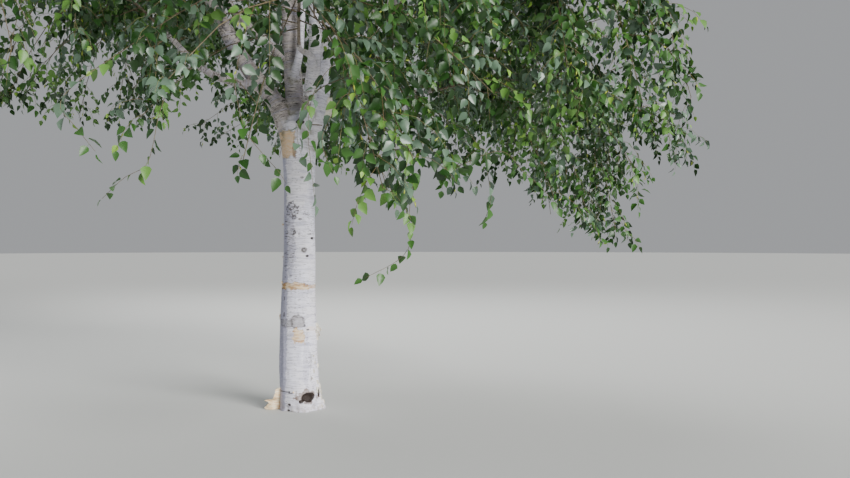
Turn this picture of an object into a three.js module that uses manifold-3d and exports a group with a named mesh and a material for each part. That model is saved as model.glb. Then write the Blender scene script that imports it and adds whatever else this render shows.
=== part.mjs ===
// Himalayan birch: a whole garden tree with a white trunk that forks low into rising limbs.
// Millimetres, +Z up, the origin at the centre of the flat cut under the trunk.
// Looking along +Y, +X is to the right, so -Y is the side that faces the viewer.
import * as THREE from "three";
import { mergeVertices } from "three/addons/utils/BufferGeometryUtils.js";
import Module from "manifold-3d";

const wasm = await Module();
wasm.setup();

// Driving sizes of the tree
const treeHeight = 10900;
const crownRadius = 3700;
const widestHeight = 4700; // where the crown is broadest
const crownFoot = 1300; // the lowest leaves, where the rim weeps furthest
const crownFootInside = 2500; // the lowest leaves close to the trunk
const weepingTurn = -25; // the direction in which the rim weeps furthest, in degrees from +X
const footLift = 1400; // how much higher the lowest leaves are on the opposite side
const seatGap = 0.35; // left between two pieces that touch
const limbClearance = 25; // left between a limb and any twig that passes it
const sprayClearance = 5; // left between a limb and any spray of leaves
const cellMargin = 14; // left between a mass of foliage and the next one

// Trunk: height, sideways lean and radius at each level, then the lobes of its root flare
const trunkLevels = [
  { height: 0, lean: 34, radius: 200 },
  { height: 70, lean: 26, radius: 191 },
  { height: 180, lean: 9, radius: 177 },
  { height: 420, lean: -4, radius: 167 },
  { height: 720, lean: -8, radius: 159 },
  { height: 1060, lean: -2, radius: 144 },
  { height: 1400, lean: 5, radius: 138 },
  { height: 1900, lean: 4, radius: 134 },
  { height: 2180, lean: 1, radius: 137 },
  { height: 2380, lean: 2, radius: 152 },
  { height: 2510, lean: 4, radius: 148 },
];
const trunkTop = trunkLevels[trunkLevels.length - 1].height;
const trunkSides = 16;
const trunkSteps = 13;
const ringCrowding = 1.35; // above 1, the trunk's rings stand closer together near its foot
const flareLobes = 5;
const flareDepth = 0.07; // how far a lobe stands out, as a share of the radius
const flareHeight = 420; // the lobes fade out by here
const forkSpread = 1.12; // the trunk is this much wider than deep just under the fork
const forkStart = 2050;

// Limbs that rise from the fork. Each runs through its points and tapers between two radii.
const limbs = [
  {
    name: "limb_leader",
    points: [
      [-4, 15, 2380],
      [-44, 24, 2760],
      [-78, 30, 3220],
      [-88, 45, 3900],
      [-20, 80, 5300],
      [55, 40, 7000],
      [10, 0, 8650],
    ],
    radii: [88, 20],
    steps: 13,
  },
  {
    name: "limb_left",
    points: [
      [-62, -5, 2330],
      [-205, -14, 2690],
      [-383, -30, 2908],
      [-563, -60, 3185],
      [-790, -110, 3700],
      [-1010, -160, 4700],
      [-1040, -120, 6000],
      [-880, -60, 7150],
    ],
    radii: [84, 19],
    steps: 13,
  },
  {
    name: "limb_right",
    points: [
      [62, -12, 2290],
      [165, -30, 2600],
      [232, -40, 2960],
      [300, -20, 3420],
      [620, 60, 4300],
      [950, 110, 5400],
      [900, 90, 7050],
    ],
    radii: [90, 19],
    steps: 12,
  },
  {
    name: "limb_back",
    points: [
      [12, 62, 2390],
      [60, 250, 2730],
      [120, 520, 3200],
      [180, 850, 4100],
      [170, 1010, 5400],
      [110, 880, 6900],
    ],
    radii: [70, 18],
    steps: 11,
  },
  {
    name: "limb_front",
    points: [
      [36, -62, 2390],
      [128, -215, 2740],
      [205, -450, 3200],
      [130, -800, 4100],
      [0, -1000, 5300],
      [-40, -900, 6800],
    ],
    radii: [66, 18],
    steps: 11,
  },
];
const limbSides = 8;
const lowerTaper = 1.45; // above 1, a limb thins fastest near its foot
const woodSpacing = 50; // how far apart the places are at which twigs are kept off the wood

// Masses of foliage, in tiers round the stem. ring is how far out their middles stand, and lift how
// far above its middle a mass is entered. rise and droop shape its stem, and pull its twigs. follow is
// how much of the lift of the crown's foot the mass takes.
const tiers = [
  { name: "skirt", count: 8, height: 2950, ring: 2400, turn: 11, lift: 200 },
  { name: "lower", count: 6, height: 4650, ring: 2300, turn: 40, lift: -350 },
  { name: "middle", count: 5, height: 6300, ring: 1950, turn: 5, lift: -380 },
  { name: "upper", count: 4, height: 7850, ring: 1350, turn: 0, lift: 0 },
  { name: "top", count: 1, height: 9450, ring: 0, turn: 0, lift: 0 },
];
const tierHabits = {
  skirt: { rise: 0.26, droop: 0.26, pull: 1.7, follow: 0.3 },
  lower: { rise: 0.4, droop: 0.13, pull: 0.8, follow: 0.1 },
  middle: { rise: 0.6, droop: 0.09, pull: 0.6, follow: 0 },
  upper: { rise: 1.1, droop: 0.04, pull: 0.4, follow: 0 },
  top: { rise: 5, droop: 0, pull: 0.2, follow: 0 },
};
const stagger = 330; // every other mass of a tier stands this much lower, and the rest higher
const entryShare = 0.5; // a bough enters its mass this far out towards the middle

// Boughs leave the limbs where they climb most nearly at this slope, and not near a limb's ends
const boughSlope = 0.75;
const slopeWeight = 900; // how many mm of length a bough would rather have than a slope that is off by 1
const springRange = [0.12, 0.9];
const boughLead = 0.3; // how much of a bough's length is shaped by the direction at each of its ends
const boughSides = 5;
const boughSteps = 5;
const boughTip = 17;
const shortestBough = 420;

// Two boughs that show low on the left side keep the places that they show in, and are stouter
const shownRadii = [40, 20];
const shownBoughs = {
  foliage_skirt_5: { from: "limb_left", height: 2830, via: [[-480, -75, 2840], [-760, -165, 2925]] },
  foliage_lower_3: { from: "limb_leader", height: 3010, via: [[-250, -10, 3185], [-500, -60, 3415]] },
};

// Twigs and sprays of leaves. A twig or spray that isn't clear is tried again at other turns.
const stemSteps = 4;
const stemRadii = [14.5, 6];
const twigsPerMass = 7;
const twigLength = 1450;
const twigRadii = [6, 4];
const twigDroop = 0.2;
const twigTries = 4;
const shortestTwig = 0.5; // a twig that is cut shorter than this share of its length is left out
const goldenTurn = 137.5;
const sprayLength = 600;
const sprayWidth = 400;
const sprayThickness = 12;
const spraySink = 2; // how far a spray's root is sunk past the twig's middle
const endSink = 12; // and how far a last spray's root is sunk into the twig's end
const sprayPlaces = [0.4, 0.7];
const sprayTries = 4;

const barkWhite = new THREE.MeshStandardMaterial({ color: 0xdcd6cf, roughness: 0.62, metalness: 0 });
const barkCream = new THREE.MeshStandardMaterial({ color: 0xd9c3a0, roughness: 0.7, metalness: 0 });
const leafGreen = new THREE.MeshStandardMaterial({ color: 0x3c6b24, roughness: 0.5, metalness: 0 });

const degrees = Math.PI / 180;
const up = new THREE.Vector3(0, 0, 1);

// A small seeded source of chance, from 0 to 1, so that the tree grows the same way each time
function chance(seed) {
  let state = seed >>> 0;
  return () => {
    state = (Math.imul(state, 1664525) + 1013904223) >>> 0;
    return state / 4294967296;
  };
}

// How far the crown reaches from the stem's line at a height, from the foot to the top
function crownReach(height) {
  if (height >= treeHeight || height <= 0) return 0;
  if (height > widestHeight) {
    const share = (height - widestHeight) / (treeHeight - widestHeight);
    return crownRadius * Math.pow(1 - Math.pow(share, 1.9), 0.72);
  }
  const share = (widestHeight - height) / (widestHeight - crownFoot);
  return crownRadius * (1 - 0.1 * share * share);
}

function footLiftTowards(place) {
  return (footLift * (1 - Math.cos(Math.atan2(place.y, place.x) - weepingTurn * degrees))) / 2;
}

// The lowest leaves hang lower the further they are from the trunk
function crownUnderside(place) {
  const share = Math.min(1, Math.hypot(place.x, place.y) / (0.75 * crownRadius));
  return crownFootInside + (crownFoot + footLiftTowards(place) - crownFootInside) * share * share;
}

function insideCrown(place) {
  return Math.hypot(place.x, place.y) < crownReach(place.z) && place.z > crownUnderside(place);
}

// A closed solid of manifold-3d from a three.js geometry
function solidOf(geometry) {
  const bare = geometry.clone();
  bare.deleteAttribute("normal");
  bare.deleteAttribute("uv");
  const merged = mergeVertices(bare, 1e-3);
  return new wasm.Manifold(
    new wasm.Mesh({
      numProp: 3,
      vertProperties: new Float32Array(merged.attributes.position.array),
      triVerts: new Uint32Array(merged.index.array),
    }),
  );
}

// The largest single body of a solid: loose scraps go, and a hollow that is sealed is filled
function mainBody(solid) {
  return solid.decompose().sort((a, b) => b.volume() - a.volume())[0];
}

function meshOf(name, solid, material) {
  const data = solid.getMesh();
  const geometry = new THREE.BufferGeometry();
  geometry.setAttribute("position", new THREE.BufferAttribute(new Float32Array(data.vertProperties), 3));
  geometry.setIndex(new THREE.BufferAttribute(new Uint32Array(data.triVerts), 1));
  geometry.computeVertexNormals();
  const mesh = new THREE.Mesh(geometry, material);
  mesh.name = name;
  return mesh;
}

// A round limb along a curve: a cylinder whose rings are moved onto the curve and given their radius
function limbGeometry(curve, radiusAt, sides, steps) {
  const geometry = new THREE.CylinderGeometry(1, 1, 1, sides, steps);
  const frames = curve.computeFrenetFrames(steps, false);
  const position = geometry.attributes.position;
  const place = new THREE.Vector3();
  for (let i = 0; i < position.count; i++) {
    const [x, y, z] = [position.getX(i), position.getY(i), position.getZ(i)];
    const ring = Math.round((y + 0.5) * steps);
    const radius = radiusAt(ring / steps, Math.atan2(z, x));
    place.copy(curve.getPointAt(ring / steps));
    place.addScaledVector(frames.normals[ring], x * radius);
    place.addScaledVector(frames.binormals[ring], -z * radius);
    position.setXYZ(i, place.x, place.y, place.z);
  }
  return geometry;
}

function curveThrough(points) {
  return new THREE.CatmullRomCurve3(
    points.map((p) => (p.isVector3 ? p : new THREE.Vector3(...p))),
    false,
    "centripetal",
  );
}

// Trunk: a lathe-like column whose rings follow the levels above
function trunkLevel(height) {
  const upper = trunkLevels.findIndex((level) => level.height >= height);
  if (upper <= 0) return trunkLevels[Math.max(upper, 0)];
  const [below, above] = [trunkLevels[upper - 1], trunkLevels[upper]];
  const share = (height - below.height) / (above.height - below.height);
  return {
    lean: below.lean + (above.lean - below.lean) * share,
    radius: below.radius + (above.radius - below.radius) * share,
  };
}

function trunkGeometry(grow = 0) {
  const geometry = new THREE.CylinderGeometry(1, 1, 1, trunkSides, trunkSteps);
  geometry.rotateX(90 * degrees);
  const position = geometry.attributes.position;
  for (let i = 0; i < position.count; i++) {
    const [x, y, share] = [position.getX(i), position.getY(i), position.getZ(i) + 0.5];
    const height = trunkTop * Math.pow(share, ringCrowding);
    const { lean, radius } = trunkLevel(height);
    const fade = Math.max(0, 1 - height / flareHeight);
    const lobes = 1 + flareDepth * fade * fade * Math.cos(flareLobes * Math.atan2(y, x) + 0.6);
    const spread = 1 + (forkSpread - 1) * Math.max(0, (height - forkStart) / (trunkTop - forkStart));
    const out = radius * lobes + grow;
    const rise = share === 1 ? grow : 0;
    position.setXYZ(i, lean + x * out * spread, (y * out) / Math.sqrt(spread), height + rise);
  }
  return geometry;
}

// Limbs and boughs: each knows its curve and radius, so that others can spring from it
function makeLimb(name, curve, radii, sides, steps, taper) {
  const radiusAt = (share) => radii[1] + (radii[0] - radii[1]) * Math.pow(1 - share, taper);
  return {
    name,
    curve,
    radiusAt,
    solid: solidOf(limbGeometry(curve, radiusAt, sides, steps)),
    grown: (by) => solidOf(limbGeometry(curve, (share) => radiusAt(share) + by, sides, steps)),
    places: (spacing) => placesAlong(curve, radiusAt, spacing),
  };
}

// Places along a limb, each of which tells whether another place is clear of the limb's wood there
function placesAlong(curve, radiusAt, spacing) {
  const count = Math.ceil(curve.getLength() / spacing);
  return curve.getSpacedPoints(count).map((middle, i) => {
    const reach = radiusAt(i / count) + limbClearance;
    return { clearOf: (place) => place.distanceToSquared(middle) > reach * reach };
  });
}

// The foliage masses: their middles, then the point and the direction in which a bough enters each
function makeMasses() {
  const masses = [];
  for (const [level, tier] of tiers.entries()) {
    const random = chance(100 + level);
    const habit = tierHabits[tier.name];
    for (let k = 0; k < tier.count; k++) {
      const turn = (tier.turn + (360 * k) / tier.count + 10 * (random() - 0.5)) * degrees;
      const ring = tier.ring * (1 + 0.1 * (random() - 0.5));
      const step = tier.count > 1 ? stagger * (k % 2 === 0 ? -1 : 1) : 0;
      const outward = new THREE.Vector3(Math.cos(turn), Math.sin(turn), 0);
      const settled = tier.height + step + habit.follow * footLiftTowards(outward);
      const height = settled + 200 * (random() - 0.5);
      const middle = outward.clone().multiplyScalar(ring).setZ(height);
      const entry = outward.clone().multiplyScalar(ring * entryShare).setZ(height + tier.lift);
      masses.push({
        name: "foliage_" + tier.name + "_" + (k + 1),
        tier,
        habit,
        outward,
        middle,
        entry,
        heading: outward.clone().addScaledVector(up, habit.rise).normalize(),
        seed: 1000 + 37 * masses.length,
      });
    }
  }
  return masses;
}

// A place belongs to the mass whose middle is nearest, and keeps a margin to the next mass's share
function marginInCell(place, mass, masses) {
  let least = Infinity;
  for (const other of masses) {
    if (other === mass) continue;
    const between = 2 * mass.middle.distanceTo(other.middle);
    const nearer = place.distanceToSquared(other.middle) - place.distanceToSquared(mass.middle);
    least = Math.min(least, nearer / between);
  }
  return least;
}

// The limb, and the place on it, from which a bough rises most naturally to a point
function bestSpring(target, parents) {
  let best = null;
  for (const parent of parents) {
    for (let share = springRange[0]; share < springRange[1]; share += 0.02) {
      const place = parent.curve.getPointAt(share);
      const across = Math.hypot(target.x - place.x, target.y - place.y);
      const slope = (target.z - place.z) / Math.max(across, 1);
      const cost = place.distanceTo(target) + slopeWeight * Math.abs(slope - boughSlope);
      if (!best || cost < best.cost) best = { cost, parent, share };
    }
  }
  return best;
}

function shareAtHeight(limb, height) {
  let share = 0;
  while (share < 1 && limb.curve.getPointAt(share).z < height) share += 0.005;
  return share;
}

// Moves the point where a bough enters its mass outwards, until the bough has some length to it
function clearEntry(mass, parents) {
  const places = parents.flatMap((parent) => parent.curve.getSpacedPoints(40));
  while (places.some((place) => place.distanceTo(mass.entry) < shortestBough))
    mass.entry.addScaledVector(mass.outward, 40);
}

// A bough leaves its limb at an acute angle and comes into its mass along the mass's heading
function makeBough(mass, parents) {
  const shown = shownBoughs[mass.name];
  let { parent, share } = bestSpring(mass.entry, parents);
  if (shown) {
    parent = parents.find((limb) => limb.name === shown.from);
    share = shareAtHeight(parent, shown.height);
  }
  const foot = parent.curve.getPointAt(share);
  const reach = foot.distanceTo(mass.entry);
  const footRadius = Math.min(0.66 * parent.radiusAt(share), 22 + 0.012 * reach);
  const leave = foot.clone().addScaledVector(parent.curve.getTangentAt(share), boughLead * reach);
  const arrive = mass.entry.clone().addScaledVector(mass.heading, -boughLead * reach);
  const curve = shown
    ? curveThrough([foot, ...shown.via, mass.entry])
    : new THREE.CubicBezierCurve3(foot, leave, arrive, mass.entry);
  const radii = shown ? shownRadii : [Math.max(footRadius, boughTip + 4), boughTip];
  return makeLimb(mass.name.replace("foliage", "bough"), curve, radii, boughSides, boughSteps, 1);
}

// One spray of leaves: a pointed blade of eight faces, broadest nearer its root
function spraySolid(root, along, facing) {
  const geometry = new THREE.OctahedronGeometry(1);
  const position = geometry.attributes.position;
  const side = new THREE.Vector3().crossVectors(along, facing).normalize();
  const normal = new THREE.Vector3().crossVectors(side, along).normalize();
  const place = new THREE.Vector3();
  const corners = [];
  for (let i = 0; i < position.count; i++) {
    const [x, y, z] = [position.getX(i), position.getY(i), position.getZ(i)];
    const run = Math.abs(y) < 0.5 ? 0.4 : (y + 1) / 2;
    place.copy(root).addScaledVector(along, run * sprayLength);
    place.addScaledVector(side, (x * sprayWidth) / 2);
    place.addScaledVector(normal, (z * sprayThickness) / 2);
    position.setXYZ(i, place.x, place.y, place.z);
    corners.push(place.clone());
  }
  return { solid: solidOf(geometry), corners };
}

// The main stem of a mass: it runs on from the bough and arches over as it nears the outline
function growStem(mass, bough, random) {
  const heading = bough.curve.getTangentAt(1);
  const start = mass.entry.clone().addScaledVector(heading, seatGap);
  const points = [start];
  const far = start.clone();
  while (insideCrown(far)) far.addScaledVector(mass.heading, 25);
  const step = (far.distanceTo(start) - sprayLength) / stemSteps;
  const direction = heading.clone();
  for (let i = 0; i < stemSteps; i++) {
    const wander = new THREE.Vector3(random() - 0.5, random() - 0.5, random() - 0.5);
    points.push(points[i].clone().addScaledVector(direction, step));
    if (i === 0) direction.lerp(mass.heading, 0.5);
    direction.addScaledVector(wander, 0.2).addScaledVector(up, -mass.habit.droop).normalize();
  }
  return points;
}

// A side twig leaves the stem at a turn round it, and bends down under its leaves
function twigPoints(curve, share, turn, open, length, pull) {
  const along = curve.getTangentAt(share);
  const across = new THREE.Vector3(1, 0, 0);
  if (Math.abs(along.z) < 0.9) across.crossVectors(along, up);
  across.addScaledVector(along, -across.dot(along)).normalize();
  across.applyAxisAngle(along, turn * degrees);
  const direction = along.clone().multiplyScalar(Math.cos(open)).addScaledVector(across, Math.sin(open));
  const points = [curve.getPointAt(share)];
  for (let i = 0; i < 3; i++) {
    points.push(points[i].clone().addScaledVector(direction, length / 3));
    direction.addScaledVector(up, -twigDroop * pull).normalize();
  }
  return points;
}

// A twig that would leave the mass's own space, or come near a limb, is shortened or refused
function clearTwig(points, isClear) {
  const curve = curveThrough(points);
  for (let keep = 1; keep >= shortestTwig; keep -= 0.125) {
    if ([0.3, 0.5, 0.75, 1].every((share) => isClear(curve.getPointAt(share * keep), cellMargin + 10))) {
      return [0, 0.5, 1].map((share) => curve.getPointAt(share * keep));
    }
  }
  return null;
}

function growTwigs(mass, stem, random, isClear) {
  const twigs = [];
  const curve = curveThrough(stem);
  for (let k = 0; k < twigsPerMass; k++) {
    const share = 0.08 + (0.86 * (k + 0.5)) / twigsPerMass;
    const turn = k * goldenTurn + 40 * random();
    const open = (50 + 22 * random()) * degrees;
    const length = twigLength * (1.1 - 0.4 * share) * (0.85 + 0.3 * random());
    for (let attempt = 0; attempt < twigTries; attempt++) {
      const points = clearTwig(
        twigPoints(curve, share, turn + attempt * 80, open, length, mass.habit.pull),
        isClear,
      );
      if (points) {
        twigs.push({ share, points });
        break;
      }
    }
  }
  return twigs;
}

// The ways that a spray may stand on its twig: first the wanted side, then the others
function sprayWays(twig, place, side, pull, random) {
  const foot = twig.getPointAt(place);
  const along = twig.getTangentAt(place);
  const sideways = new THREE.Vector3().crossVectors(along, up).normalize();
  const outward = new THREE.Vector3(foot.x, foot.y, 0).normalize();
  const open = place === 1 ? 0.15 : 0.95 + 0.3 * random();
  const sag = Math.min(1, pull) * (0.25 + 0.3 * random());
  const tilt = 0.4 + 0.7 * random();
  const ways = [];
  for (let attempt = 0; attempt < sprayTries; attempt++) {
    const turn = side * (attempt % 2 === 0 ? 1 : -1) * open * (1 + 0.4 * attempt);
    const direction = along.clone().multiplyScalar(Math.cos(turn));
    direction.addScaledVector(sideways, Math.sin(turn));
    direction.addScaledVector(up, -sag * (attempt < 2 ? 1 : -0.6)).normalize();
    const facing = outward.clone().addScaledVector(up, tilt).addScaledVector(along, -0.6);
    const root = foot.clone();
    if (place === 1) root.addScaledVector(along, -endSink);
    else root.addScaledVector(direction, -spraySink);
    ways.push(spraySolid(root, direction, facing));
  }
  return ways;
}

const apart = (a, b) => {
  const [boxA, boxB] = [a.boundingBox(), b.boundingBox()];
  if ([0, 1, 2].some((i) => boxA.min[i] > boxB.max[i] || boxB.min[i] > boxA.max[i])) return true;
  return a.intersect(b).isEmpty();
};

function growMass(mass, masses, woodPlaces, grownWood) {
  const random = chance(mass.seed);
  const isIn = (place, margin) => insideCrown(place) && marginInCell(place, mass, masses) > margin;
  const isClear = (place, margin) => isIn(place, margin) && woodPlaces.every((wood) => wood.clearOf(place));
  const stem = growStem(mass, mass.bough, random);
  const twigs = growTwigs(mass, stem, random, isClear);
  // The stem's own end carries sprays as a twig does
  twigs.push({ share: 1, points: stem.slice(-3) });
  const shrink = (radii) => (share) => radii[0] + (radii[1] - radii[0]) * share;
  const stemSolid = solidOf(limbGeometry(curveThrough(stem), shrink(stemRadii), 3, stemSteps));
  for (const twig of twigs) {
    twig.curve = curveThrough(twig.points);
    const radii = twigRadii.map((radius) => Math.min(radius, 0.8 * shrink(stemRadii)(twig.share)));
    twig.solid = twig.share < 1 ? solidOf(limbGeometry(twig.curve, shrink(radii), 3, 2)) : stemSolid;
  }
  const sprays = [];
  for (const [k, twig] of twigs.entries()) {
    const wood = [stemSolid, ...twigs.map((other) => other.solid)];
    const others = wood.filter((solid) => solid !== twig.solid);
    for (const [i, place] of [...sprayPlaces, 1].entries()) {
      const ways = sprayWays(twig.curve, place, (i + k) % 2 === 0 ? 1 : -1, mass.habit.pull, random);
      const spray = ways.find(
        (way) =>
          way.corners.every((corner) => isIn(corner, cellMargin)) &&
          apart(way.solid, grownWood) &&
          [...others, ...sprays].every((solid) => apart(way.solid, solid)),
      );
      if (spray) sprays.push(spray.solid);
    }
  }
  return mainBody(wasm.Manifold.union([stemSolid, ...twigs.map((twig) => twig.solid), ...sprays]));
}

// The sheet of bark that has come away from the foot and stands out beside it
const curlHeight = 215;
const curlReach = 145;
const curlThickness = 4;
const curlFoot = new THREE.Vector3(-152, -62, 6);

function curlGeometry() {
  const outline = new THREE.Shape();
  outline.moveTo(30, 0);
  outline.lineTo(-curlReach, -2);
  outline.lineTo(-0.8 * curlReach, 0.26 * curlHeight);
  outline.lineTo(-0.84 * curlReach, 0.55 * curlHeight);
  outline.quadraticCurveTo(-0.4 * curlReach, 0.66 * curlHeight, -0.22 * curlReach, curlHeight);
  outline.lineTo(30, 0.98 * curlHeight);
  outline.closePath();
  const sheet = { depth: curlThickness, bevelEnabled: false, curveSegments: 5 };
  const geometry = new THREE.ExtrudeGeometry(outline, sheet);
  geometry.rotateX(90 * degrees);
  geometry.rotateZ(-14 * degrees);
  geometry.translate(curlFoot.x, curlFoot.y, curlFoot.z);
  return geometry;
}

// Assembly
const trunkLine = new THREE.LineCurve3(new THREE.Vector3(), new THREE.Vector3(0, 0, trunkTop));
const trunk = {
  name: "trunk",
  solid: solidOf(trunkGeometry()),
  grown: (by) => solidOf(trunkGeometry(by)),
  places: (spacing) => placesAlong(trunkLine, (share) => trunkLevel(share * trunkTop).radius, spacing),
};
const mainLimbs = limbs.map((limb) =>
  makeLimb(limb.name, curveThrough(limb.points), limb.radii, limbSides, limb.steps, lowerTaper),
);
const masses = makeMasses();

// The four upper masses and the top one stand on the ends of the limbs themselves
const onLimbs = { upper: ["limb_right", "limb_back", "limb_left", "limb_front"], top: ["limb_leader"] };
const boughs = [];
for (const mass of masses) {
  const carriers = onLimbs[mass.tier.name];
  if (carriers) {
    const limb = mainLimbs.find((l) => l.name === carriers[Number(mass.name.split("_").pop()) - 1]);
    mass.entry.copy(limb.curve.getPointAt(1));
    mass.bough = limb;
  } else {
    clearEntry(mass, mainLimbs);
    mass.bough = makeBough(mass, mainLimbs);
    boughs.push(mass.bough);
  }
}

// Each limb is cut clear of the trunk and of the limbs before it, and keeps its main body
const woody = [trunk];
for (const limb of [...mainLimbs, ...boughs]) {
  let solid = limb.solid;
  for (const earlier of woody) solid = solid.subtract(earlier.grown(seatGap));
  limb.solid = mainBody(solid);
  woody.push(limb);
}
const woodPlaces = woody.flatMap((limb) => limb.places(woodSpacing));
const grownWood = wasm.Manifold.union(woody.map((limb) => limb.grown(sprayClearance)));

const group = new THREE.Group();
for (const limb of woody) group.add(meshOf(limb.name, limb.solid, barkWhite));
group.add(meshOf("bark_curl", mainBody(solidOf(curlGeometry()).subtract(trunk.grown(seatGap))), barkCream));
for (const mass of masses) {
  const solid = growMass(mass, masses, woodPlaces, grownWood);
  group.add(meshOf(mass.name, solid, leafGreen));
}

export default group;
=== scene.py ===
# Himalayan birch: bark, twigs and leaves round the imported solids. Metres, +Z up, -Y faces the viewer.
import math

import bmesh
import bpy
import numpy as np
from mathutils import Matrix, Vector, noise


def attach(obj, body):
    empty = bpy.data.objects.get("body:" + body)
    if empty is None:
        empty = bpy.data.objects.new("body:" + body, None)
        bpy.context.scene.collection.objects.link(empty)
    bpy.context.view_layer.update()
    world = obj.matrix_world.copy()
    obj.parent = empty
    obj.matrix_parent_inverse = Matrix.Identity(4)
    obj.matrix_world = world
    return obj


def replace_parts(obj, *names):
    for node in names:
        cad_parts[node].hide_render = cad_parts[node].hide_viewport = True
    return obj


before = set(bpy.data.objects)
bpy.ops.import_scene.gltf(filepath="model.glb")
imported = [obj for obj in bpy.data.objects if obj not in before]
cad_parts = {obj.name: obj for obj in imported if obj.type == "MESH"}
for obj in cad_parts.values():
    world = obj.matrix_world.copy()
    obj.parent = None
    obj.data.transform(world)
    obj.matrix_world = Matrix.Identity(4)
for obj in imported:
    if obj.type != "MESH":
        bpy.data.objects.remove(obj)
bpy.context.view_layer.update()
print("frame loaded:", len(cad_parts), "nodes")

up = np.array([0.0, 0.0, 1.0])

# The crown's outline, as the solids have it
crown = {
    "height": 10.9, "radius": 3.7, "widest": 4.7, "foot": 1.3, "footInside": 2.5,
    "weepingTurn": math.radians(-25), "footLift": 1.4,
    # how it rounds off above its widest, draws in below, and from what share of its radius it hangs
    "shoulder": (1.9, 0.72), "drawIn": 0.1, "hangFrom": 0.75,
}

# The trunk: height, lean and radius at each level, and the soft lobes of its root flare
trunk = {
    "levels": [
        (0.0, 0.028, 0.194), (0.07, 0.021, 0.186), (0.18, 0.007, 0.175), (0.42, -0.004, 0.167),
        (0.72, -0.008, 0.159), (1.06, -0.002, 0.144), (1.4, 0.005, 0.138), (1.9, 0.004, 0.134),
        (2.18, 0.001, 0.137), (2.38, 0.002, 0.152), (2.51, 0.004, 0.148),
    ],
    "lobes": 5, "lobeDepth": 0.07, "lobeHeight": 0.42, "lobeTurn": 0.6, "forkSpread": 1.12, "forkStart": 2.05,
    "sides": 72, "rings": 240,
}
trunkTop = trunk["levels"][-1][0]

# The limbs: places along each, then the radii of foot and tip, and how rough and dark the bark is
limbs = {
    "limb_leader": ([
        (-0.004, 0.015, 2.38), (-0.044, 0.024, 2.76), (-0.078, 0.03, 3.22), (-0.088, 0.045, 3.9),
        (-0.02, 0.08, 5.3), (0.055, 0.04, 7.0), (0.01, 0, 8.65)], (0.088, 0.02), 0.75),
    "limb_left": ([
        (-0.062, -0.005, 2.33), (-0.205, -0.014, 2.69), (-0.383, -0.03, 2.908), (-0.563, -0.06, 3.185),
        (-0.79, -0.11, 3.7), (-1.01, -0.16, 4.7), (-1.04, -0.12, 6.0), (-0.88, -0.06, 7.15)],
        (0.084, 0.019), 0.8),
    "limb_right": ([
        (0.062, -0.012, 2.29), (0.165, -0.03, 2.6), (0.232, -0.04, 2.96), (0.3, -0.02, 3.42),
        (0.62, 0.06, 4.3), (0.95, 0.11, 5.4), (0.9, 0.09, 7.05)], (0.09, 0.019), 0.2),
    "limb_back": ([
        (0.012, 0.062, 2.39), (0.06, 0.25, 2.73), (0.12, 0.52, 3.2), (0.18, 0.85, 4.1),
        (0.17, 1.01, 5.4), (0.11, 0.88, 6.9)], (0.07, 0.018), 0.7),
    "limb_front": ([
        (0.036, -0.062, 2.39), (0.128, -0.215, 2.74), (0.205, -0.45, 3.2), (0.13, -0.8, 4.1),
        (0, -1.0, 5.3), (-0.04, -0.9, 6.8)], (0.066, 0.018), 0.25),
}
limbTaper = 1.45

# Masses of foliage in tiers: how many, the height, ring and turn of their middles, and how far above
# those their boughs come in. Then their habit: how they rise, droop, weep and follow the crown's foot.
tierValues = ("count", "height", "ring", "turn", "lift", "rise", "droop", "pull", "follow")
tiers = {name: dict(zip(tierValues, row)) for name, row in {
    "skirt": (8, 2.95, 2.4, 11, 0.2, 0.26, 0.26, 1.7, 0.3),
    "lower": (6, 4.65, 2.3, 40, -0.35, 0.4, 0.13, 0.8, 0.1),
    "middle": (5, 6.3, 1.95, 5, -0.38, 0.6, 0.09, 0.6, 0),
    "upper": (4, 7.85, 1.35, 0, 0, 1.1, 0.04, 0.4, 0),
    "top": (1, 9.45, 0, 0, 0, 5, 0, 0.2, 0),
}.items()}
# How far chance moves a mass: degrees of turn, a share of its ring, and metres of height
scatter = {"turn": 10, "ring": 0.1, "height": 0.2}
boughs = {
    "stagger": 0.33, "entryShare": 0.5, "shortest": 0.42, "entryStep": 0.04, "shareStep": 0.005,
    # where a bough springs: the shares of a limb that are looked at, and the slope that suits it
    "spring": (0.12, 0.9, 0.02), "slope": 0.75, "slopeWeight": 0.9, "lead": 0.3,
    # its foot: a share of the limb there, but at most a radius that grows with the bough's length
    "footShare": 0.66, "foot": (0.022, 0.012), "tip": 0.017, "leastTaper": 0.004,
    "sides": 12, "rings": 26, "collar": 0.6, "collarReach": 0.11,
    "roughens": (0.05, 0.7), "farRoughness": 0.75,
    # lumps in the wood: how deep, and how close together round it and along it
    "lumps": [(0.07, 9, 7), (0.05, 22, 30)],
    # the two that the photo shows: their limb, the height on it, and places along them
    "shown": {
        "foliage_skirt_5": ("limb_left", 2.83, [(-0.48, -0.075, 2.84), (-0.76, -0.165, 2.925)]),
        "foliage_lower_3": ("limb_leader", 3.01, [(-0.25, -0.01, 3.185), (-0.5, -0.06, 3.415)]),
    },
    "shownRadii": (0.04, 0.02),
    "onLimbs": {"upper": ["limb_right", "limb_back", "limb_left", "limb_front"], "top": ["limb_leader"]},
}
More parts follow.
